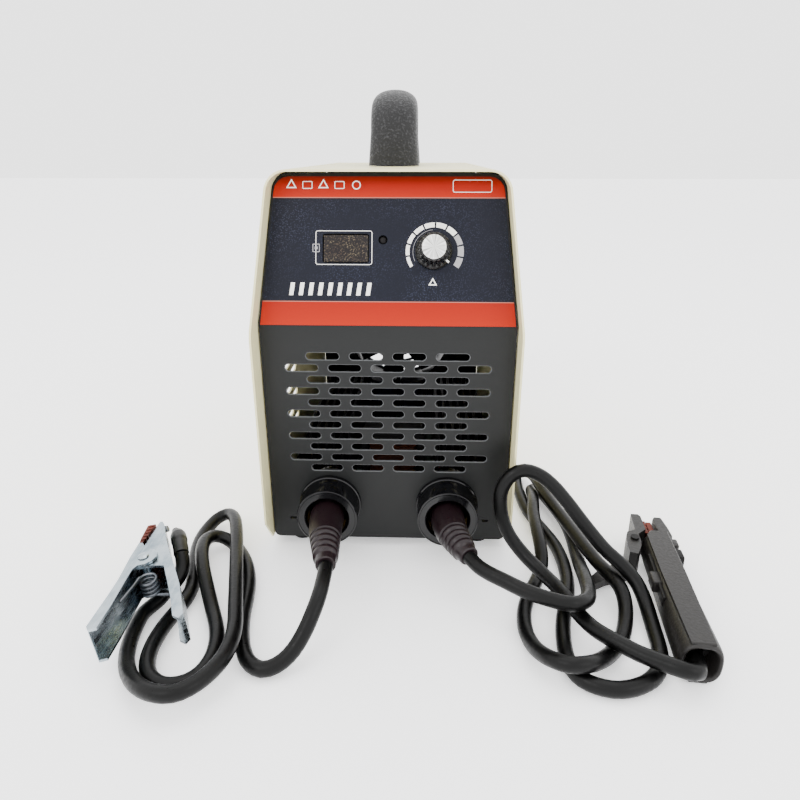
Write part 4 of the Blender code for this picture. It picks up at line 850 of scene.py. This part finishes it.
def make_knob(look):
    """Fluted control knob with a skirt, a white pointer and a spun silver disc."""
    hub = SLOPE @ Matrix.Translation((KNOB_X, KNOB_S, 0.0))
    flutes, around = 18, 144

    def ring(radius, z, depth=0.0):
        points = []
        for k in range(around):
            a = 2 * math.pi * k / around
            r = radius - depth * (0.5 + 0.5 * math.cos(flutes * a)) ** 3
            points.append(Vector((r * math.cos(a), r * math.sin(a), z)))
        return points

    rings = [ring(0.0034, 0.0105), ring(0.0034, 0.0052), ring(0.0076, 0.0052),
             ring(0.0076, 0.0012), ring(0.0102, 0.0012), ring(0.0104, 0.0016),
             ring(0.0104, 0.0028), ring(0.0101, 0.0034), ring(0.0092, 0.0042),
             ring(0.0088, 0.0048, 0.0009), ring(0.0081, 0.0118, 0.0009),
             ring(0.0079, 0.0125, 0.0007), ring(0.0075, 0.0130, 0.0003),
             ring(0.0069, 0.0132), ring(0.0066, 0.0130)]
    place(ring_loft("knob_moulding", rings, hub, 50), look["knob"], "knob",
          ["control_knob"], "black_gloss")
    disc = [(0.0, 0.0143), (0.0058, 0.0143), (0.0063, 0.0141), (0.0066, 0.0138),
            (0.0067, 0.0134), (0.0, 0.0134)]
    place(turned("knob_disc", disc, hub, 96), look["silver"], "knob", ["knob_cap"],
          "knob_silver")
    rim = (hub @ Matrix.Rotation(math.radians(-38.0), 4, "Z")
           @ Matrix.Translation((0.0094, 0.0, 0.0041)))
    pointer = block("knob_pointer", (0.0026, 0.0011, 0.0006), rim)
    place(soften(pointer, 0.00015), look["print_white"], "knob", slot="knob_silver")


def screw_head(name, matrix, radius, look):
    """Domed screw with a hexagon recess, pointing along local +Z."""
    around, height = 48, radius * 0.55

    def hexagon(size, z):
        points = []
        for k in range(around):
            a = 2 * math.pi * k / around
            r = size / math.cos((a % (math.pi / 3)) - math.pi / 6)
            points.append(Vector((r * math.cos(a), r * math.sin(a), z)))
        return points

    def ring(r, z):
        return [Vector((x, y, z)) for x, y in circle(r, count=around)]

    rings = [ring(radius * 0.6, 0.0), ring(radius, 0.0), ring(radius, height * 0.45),
             ring(radius * 0.94, height * 0.75), ring(radius * 0.78, height),
             hexagon(radius * 0.42, height), hexagon(radius * 0.40, height * 0.35)]
    place(ring_loft(name, rings, matrix, 35), look["steel"], slot="steel")


def make_fasteners(look):
    """Screws of the cover's sides, the rear panel and the fan guard."""
    for side in (-1, 1):
        facing = Matrix.Rotation(side * math.pi / 2, 4, "Y")
        for i, y in enumerate((-0.100, 0.000, 0.105)):
            at = Matrix.Translation((side * CASE_W / 2, y, 0.0145)) @ facing
            screw_head(f"cover_screw_{'left' if side < 0 else 'right'}_{i + 1}", at,
                       0.0032, look)
    for i, (x, z) in enumerate(((-0.064, 0.016), (0.064, 0.016), (-0.058, 0.208),
                                (0.058, 0.208))):
        screw_head(f"rear_screw_{i + 1}", facing_rear(x, REAR_Y, z), 0.0030, look)
    low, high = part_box("fan_guard")
    ring, turn = 0.0525, math.pi / 2
    for i in range(4):
        a = turn * (i + 0.5)
        x = (low[0] + high[0]) / 2 + ring * math.cos(a)
        z = (low[2] + high[2]) / 2 + ring * math.sin(a)
        screw_head(f"guard_screw_{i + 1}", facing_rear(x, REAR_Y, z), 0.0028, look)
        lug = [(0.0022, 0.0), (0.0042, 0.0), (0.0042, 0.0012), (0.0022, 0.0012)]
        place(turned(f"guard_washer_{i + 1}", lug, facing_rear(x, REAR_Y + 0.00004, z), 40),
              look["steel"], slot="steel")


# ------------------------------------------------------------------ tools on the leads
def make_clamp_details(look):
    """Teeth, lug bolt, rivet, boot and spring of the earth clamp."""
    for name in ("clamp_arm_moving", "clamp_arm_fixed"):
        soften(NODES[name], 0.00045, 3)
    for name in ("clamp_jaw_moving", "clamp_jaw_fixed"):
        soften(NODES[name], 0.0004)
    pieces = []
    teeth = []
    for i in range(5):
        y = 17.5 + 3.2 * i
        x = -2.9 + 0.105 * (y - 17.5)
        teeth.append(scaled([(x - 2.6, y), (x - 0.2, y + 0.6), (x - 0.2, y + 1.7),
                             (x - 2.6, y + 2.2)]))
    pieces.append(place(sheet_piece("clamp_teeth", teeth, 0.0196, CLAMP), look["copper"],
                        "clamp_arm", slot="copper"))
    bolt = CLAMP @ Matrix.Translation((0.0024, 0.0352, 0.0034)) @ Matrix.Rotation(
        math.radians(72), 4, "Y")
    hexagon = [(0.0, 0.0022), (0.0018, 0.0022), (0.0022, 0.0018), (0.0022, 0.0), (0.0, 0.0)]
    pieces.append(place(turned("clamp_lug_bolt", hexagon, bolt, 6), look["steel"],
                        slot="steel"))
    rivet = [(0.0, 0.0116), (0.0016, 0.0115), (0.0026, 0.0110), (0.0029, 0.0104),
             (0.0024, 0.0103), (0.0024, -0.0103), (0.0029, -0.0104), (0.0022, -0.0110),
             (0.0, -0.0112)]
    pieces.append(place(turned("clamp_pivot_rivet", rivet, CLAMP, 40), look["zinc"],
                        stands_for=["clamp_rivet"], slot="steel"))
    boot_path = [(5.0, 44.0, -3.0), (5.8, 42.5, -3.0), (8.0, 38.0, -3.0), (9.9, 32.0, -3.4),
                 (11.3, 27.0, -4.6), (12.3, 22.5, -6.6)]
    points = [CLAMP @ p for p in curve_through(boot_path, SLEEVE_STEP)]
    table = [(0.0, 1.2), (0.05, 2.2), (0.14, 2.6), (0.24, 3.8), (0.30, 4.1), (0.36, 4.6),
             (0.60, 4.8), (0.66, 4.4), (1.0, 4.4)]
    radii = [profile_at(table, i / (len(points) - 1)) * MM for i in range(len(points))]
    boot = ring_loft("clamp_boot", swept_rings(points, radii), None, 50)
    place(boot, look["sleeve_end"], stands_for=["clamp_cable_lug"], slot="holder_plastic")
    pieces.append(boot)
    turns, per_turn, reach, rise = 4, 24, 4.1, 9.4
    centre = (4.0, -12.4)
    coil = []
    for i in range(turns * per_turn + 1):
        a = math.pi - 2 * math.pi * i / per_turn
        coil.append((centre[0] + reach * math.cos(a), centre[1] + reach * math.sin(a),
                     rise * (0.5 - i / (turns * per_turn))))
    coil = coil[:-1] + [(7.0, -15.0, -rise / 2), (14.0, -16.6, -rise / 2)]
    leg = [(-0.3, -12.0, 5.2), (-1.6, -18.0, 5.2), (-5.6, -30.0, 5.0)]
    for name, path, body, stands_for in (
            ("clamp_coil", coil, "machine", ["clamp_spring"]),
            ("clamp_spring_leg", leg, "clamp_arm", [])):
        wire = tube(name, [CLAMP @ (Vector(p) * MM) for p in path], 0.00085, 4)
        pieces.append(place(wire, look["steel"], body, stands_for, "steel"))
    return pieces


def grip_section(y, half_w, half_h, around=72):
    """Section of the holder's grip: round flanks, flatter top and bottom."""
    ring = []
    for k in range(around):
        a = 2 * math.pi * k / around
        x = math.copysign(abs(math.cos(a)) ** 0.72, math.cos(a)) * half_w
        z = math.copysign(abs(math.sin(a)) ** 0.72, math.sin(a)) * half_h
        ring.append(Vector((x, y, z)) * MM)
    return ring


def make_holder_details(look):
    """Fine grip moulding, top strip, seal, side channel, prong and teeth of the holder."""
    pieces = []
    stations = [(-66, 7.4, 8.0), (-88.6, 7.7, 8.3), (-89.6, 8.4, 9.2), (-90, 9.0, 10.0),
                (-89.7, 9.6, 10.7), (-88.6, 9.9, 11.05), (-86, 10.1, 11.2),
                (-74, 9.85, 11.05), (-60, 9.6, 10.9), (-45, 9.25, 10.7),
                (-30, 8.9, 10.5), (-16, 8.5, 10.35), (-2, 8.2, 10.2), (6.4, 7.8, 10.0),
                (7.5, 7.1, 9.4)]
    grip = ring_loft("holder_moulding", [grip_section(*s) for s in stations], HOLDER, 50)
    pieces.append(place(grip, look["holder"], stands_for=["holder_grip"],
                        slot="holder_plastic"))

    def moved(x, y, z):
        return HOLDER @ Matrix.Translation(Vector((x, y, z)) * MM)

    def add(obj, finish):
        pieces.append(place(obj, look[finish], slot="holder_plastic"))

    strip = sheet_piece("holder_top_strip", [scaled([
        (-6.4, 4.0), (-6.9, -30.0), (-6.0, -88.6), (5.8, -88.6), (6.5, -30.0),
        (6.4, 8.4), (-3.4, 8.4)])], 0.0020, moved(0, 0, 10.5))
    add(soften(strip, 0.0005, 3), "holder")
    # The foot, rear seal, side channel and rear side lug take the darker copy of the moulding
    # as painted shade.
    add(block("holder_foot", (0.0090, 0.0640, 0.0022), moved(0, -57.5, -10.3), 0.0006),
        "holder_painted_shade")
    seal = [(0.0046, 0.0), (0.0073, 0.0), (0.0073, 0.0040), (0.0046, 0.0040)]
    add(turned("holder_rear_seal", seal,
               moved(0, -74.0, 0) @ Matrix.Rotation(math.pi / 2, 4, "X"), 48), "holder_painted_shade")
    groove = sheet_piece("holder_side_channel", [scaled([
        (-7.0, -12.0), (-8.9, -12.0), (-9.7, -52.0), (-8.0, -52.0)])], 0.0060,
        moved(0, 0, 5.2))
    add(soften(groove, 0.0005), "holder_painted_shade")
    add(block("holder_catch", (0.0052, 0.0100, 0.0070), moved(-9.3, -34.5, 5.0), 0.0008),
        "holder")
    for i, (y, depth) in enumerate(((3.5, 0.0075), (-8.0, 0.0090))):
        add(block(f"holder_side_lug_{i + 1}", (0.0052, depth, 0.0125), moved(9.3, y, 1.0),
                  0.0008), "holder_painted_shade" if i else "holder")
    prong = sheet_piece("holder_front_prong", [scaled([
        (0.0, -2.0), (7.0, -2.0), (10.2, 10.0), (9.6, 20.0), (8.2, 30.5), (3.4, 30.5),
        (2.0, 27.0), (3.0, 13.0), (0.0, 9.0)])], 0.0158, HOLDER)
    add(soften(prong, 0.0009, 3), "holder")
    soften(NODES["holder_lever"], 0.0007, 3)
    for i in range(4):
        y = 15.5 + 3.6 * i
        tooth = sheet_piece(f"holder_tooth_{i + 1}", [scaled([
            (-4.9, y), (-2.0, y + 0.8), (-2.0, y + 1.5), (-4.9, y + 2.2)])], 0.0112, HOLDER)
        pieces.append(place(tooth, look["copper"], "lever", slot="copper"))
    return pieces


# ------------------------------------------------------------------ all the rest
FEET = [f"foot_{end}_{side}" for end in ("front", "rear") for side in ("left", "right")]
NODE_LOOKS = {
    "cover": ["cover_shell"], "label": ["front_label"], "panel": ["rear_panel"],
    "chassis": ["base_tray", "socket_nut_left", "socket_nut_right"],
    "lens": ["display_window"], "lamp": ["indicator_lamp"], "red": ["switch_rocker"],
    "gloss": ["display_module", "switch_housing"], "board": ["control_board", "main_board"],
    "steel": ["handle_bolt_front", "handle_bolt_rear", "potentiometer_nut",
              "potentiometer_body", "fan_guard"],
    "aluminium": ["potentiometer_shaft"], "brass": ["earth_screw"],
    "zinc": ["clamp_arm_moving", "clamp_arm_fixed"],
    "copper": ["clamp_jaw_moving", "clamp_jaw_fixed", "holder_jaw_moving",
               "holder_jaw_fixed"],
    # the holder pivot takes the darker moulding as painted shade
    "holder": ["holder_lever"], "holder_painted_shade": ["holder_pivot"],
    "fan": ["fan_frame", "fan_rotor"], "rubber": ["cable_gland"] + FEET,
    "anodised": ["heat_sink_left", "heat_sink_right"], "ferrite": ["transformer_core"],
    "winding": ["transformer_winding", "output_choke"],
    "can": ["capacitor_left", "capacitor_right"],
}
ROUNDED = {
    0.0002: ["rear_panel"],
    0.0003: ["cover_shell", "display_window", "fan_guard", "base_tray", "earth_screw"],
    0.0004: ["switch_housing", "fan_frame"], 0.0005: ["cable_gland"],
    0.0006: ["switch_rocker"] + FEET, 0.0010: ["transformer_winding"],
}


def dress_nodes(look):
    """Finishes and edge rounding for the CAD pieces that stay."""
    for finish, names in NODE_LOOKS.items():
        for name in names:
            for holder in NODES[name].material_slots:
                holder.material = look[finish]
    for width, names in ROUNDED.items():
        for name in names:
            soften(NODES[name], width)


WORLD_LIGHT = 2.8
FLOOR_GLOW = 0.50
STUDIO_LIGHTS = [                  # name, place, size in metres, power in watts
    ("key", (-0.9, -1.1, 1.3), 0.9, 7.0),
    ("fill", (1.2, -0.9, 1.0), 0.9, 4.0),
    ("top", (0.0, 0.2, 1.6), 1.2, 6.0)]
LIGHTS_AIM = (0.0, -0.1, 0.1)
CAMERA_AT = (0.0187, -0.4773, 0.2362)
CAMERA_PITCH, CAMERA_YAW = -21.05, 1.88


def make_stage(look):
    """Pale floor, soft studio light and the camera."""
    bm = bmesh.new()
    bmesh.ops.create_grid(bm, x_segments=1, y_segments=1, size=6.0)
    floor = mesh_object("floor", bm, Matrix.Translation((0, 0, -0.0002)))
    bpy.context.scene.collection.objects.link(floor)
    floor.data.materials.append(look["floor"])
    glow = look["floor"].node_tree.nodes["Principled BSDF"].inputs
    glow["Emission Color"].default_value = (1.0, 1.0, 1.0, 1.0)
    glow["Emission Strength"].default_value = FLOOR_GLOW
    world = bpy.context.scene.world or bpy.data.worlds.new("studio")
    bpy.context.scene.world = world
    world.use_nodes = True
    back = world.node_tree.nodes["Background"]
    back.inputs["Color"].default_value = (1.0, 1.0, 1.0, 1.0)
    back.inputs["Strength"].default_value = WORLD_LIGHT
    for name, at, size, power in STUDIO_LIGHTS:
        light = bpy.data.lights.new(name, "AREA")
        light.shape = "DISK"
        light.size = size
        light.energy = power
        lamp = bpy.data.objects.new(name, light)
        lamp.location = at
        aim = Vector(LIGHTS_AIM) - Vector(at)
        lamp.rotation_euler = aim.to_track_quat("-Z", "Y").to_euler()
        bpy.context.scene.collection.objects.link(lamp)
    camera = bpy.data.cameras.new("camera")
    camera.lens = 29.0
    camera.sensor_width = 36.0
    camera.clip_start = 0.01
    view = bpy.data.objects.new("camera", camera)
    view.location = CAMERA_AT
    view.rotation_euler = (math.radians(90.0 + CAMERA_PITCH), 0.0, math.radians(CAMERA_YAW))
    bpy.context.scene.collection.objects.link(view)
    bpy.context.scene.camera = view


look = make_finishes()
make_stage(look)
leads = make_leads(look)
sleeves = make_plugs(look)
make_sockets(look)
make_front_panel(look)
make_handle(look)
make_label(look)
make_knob(look)
make_fasteners(look)
clamp_pieces = make_clamp_details(look)
holder_pieces = make_holder_details(look)
dress_nodes(look)
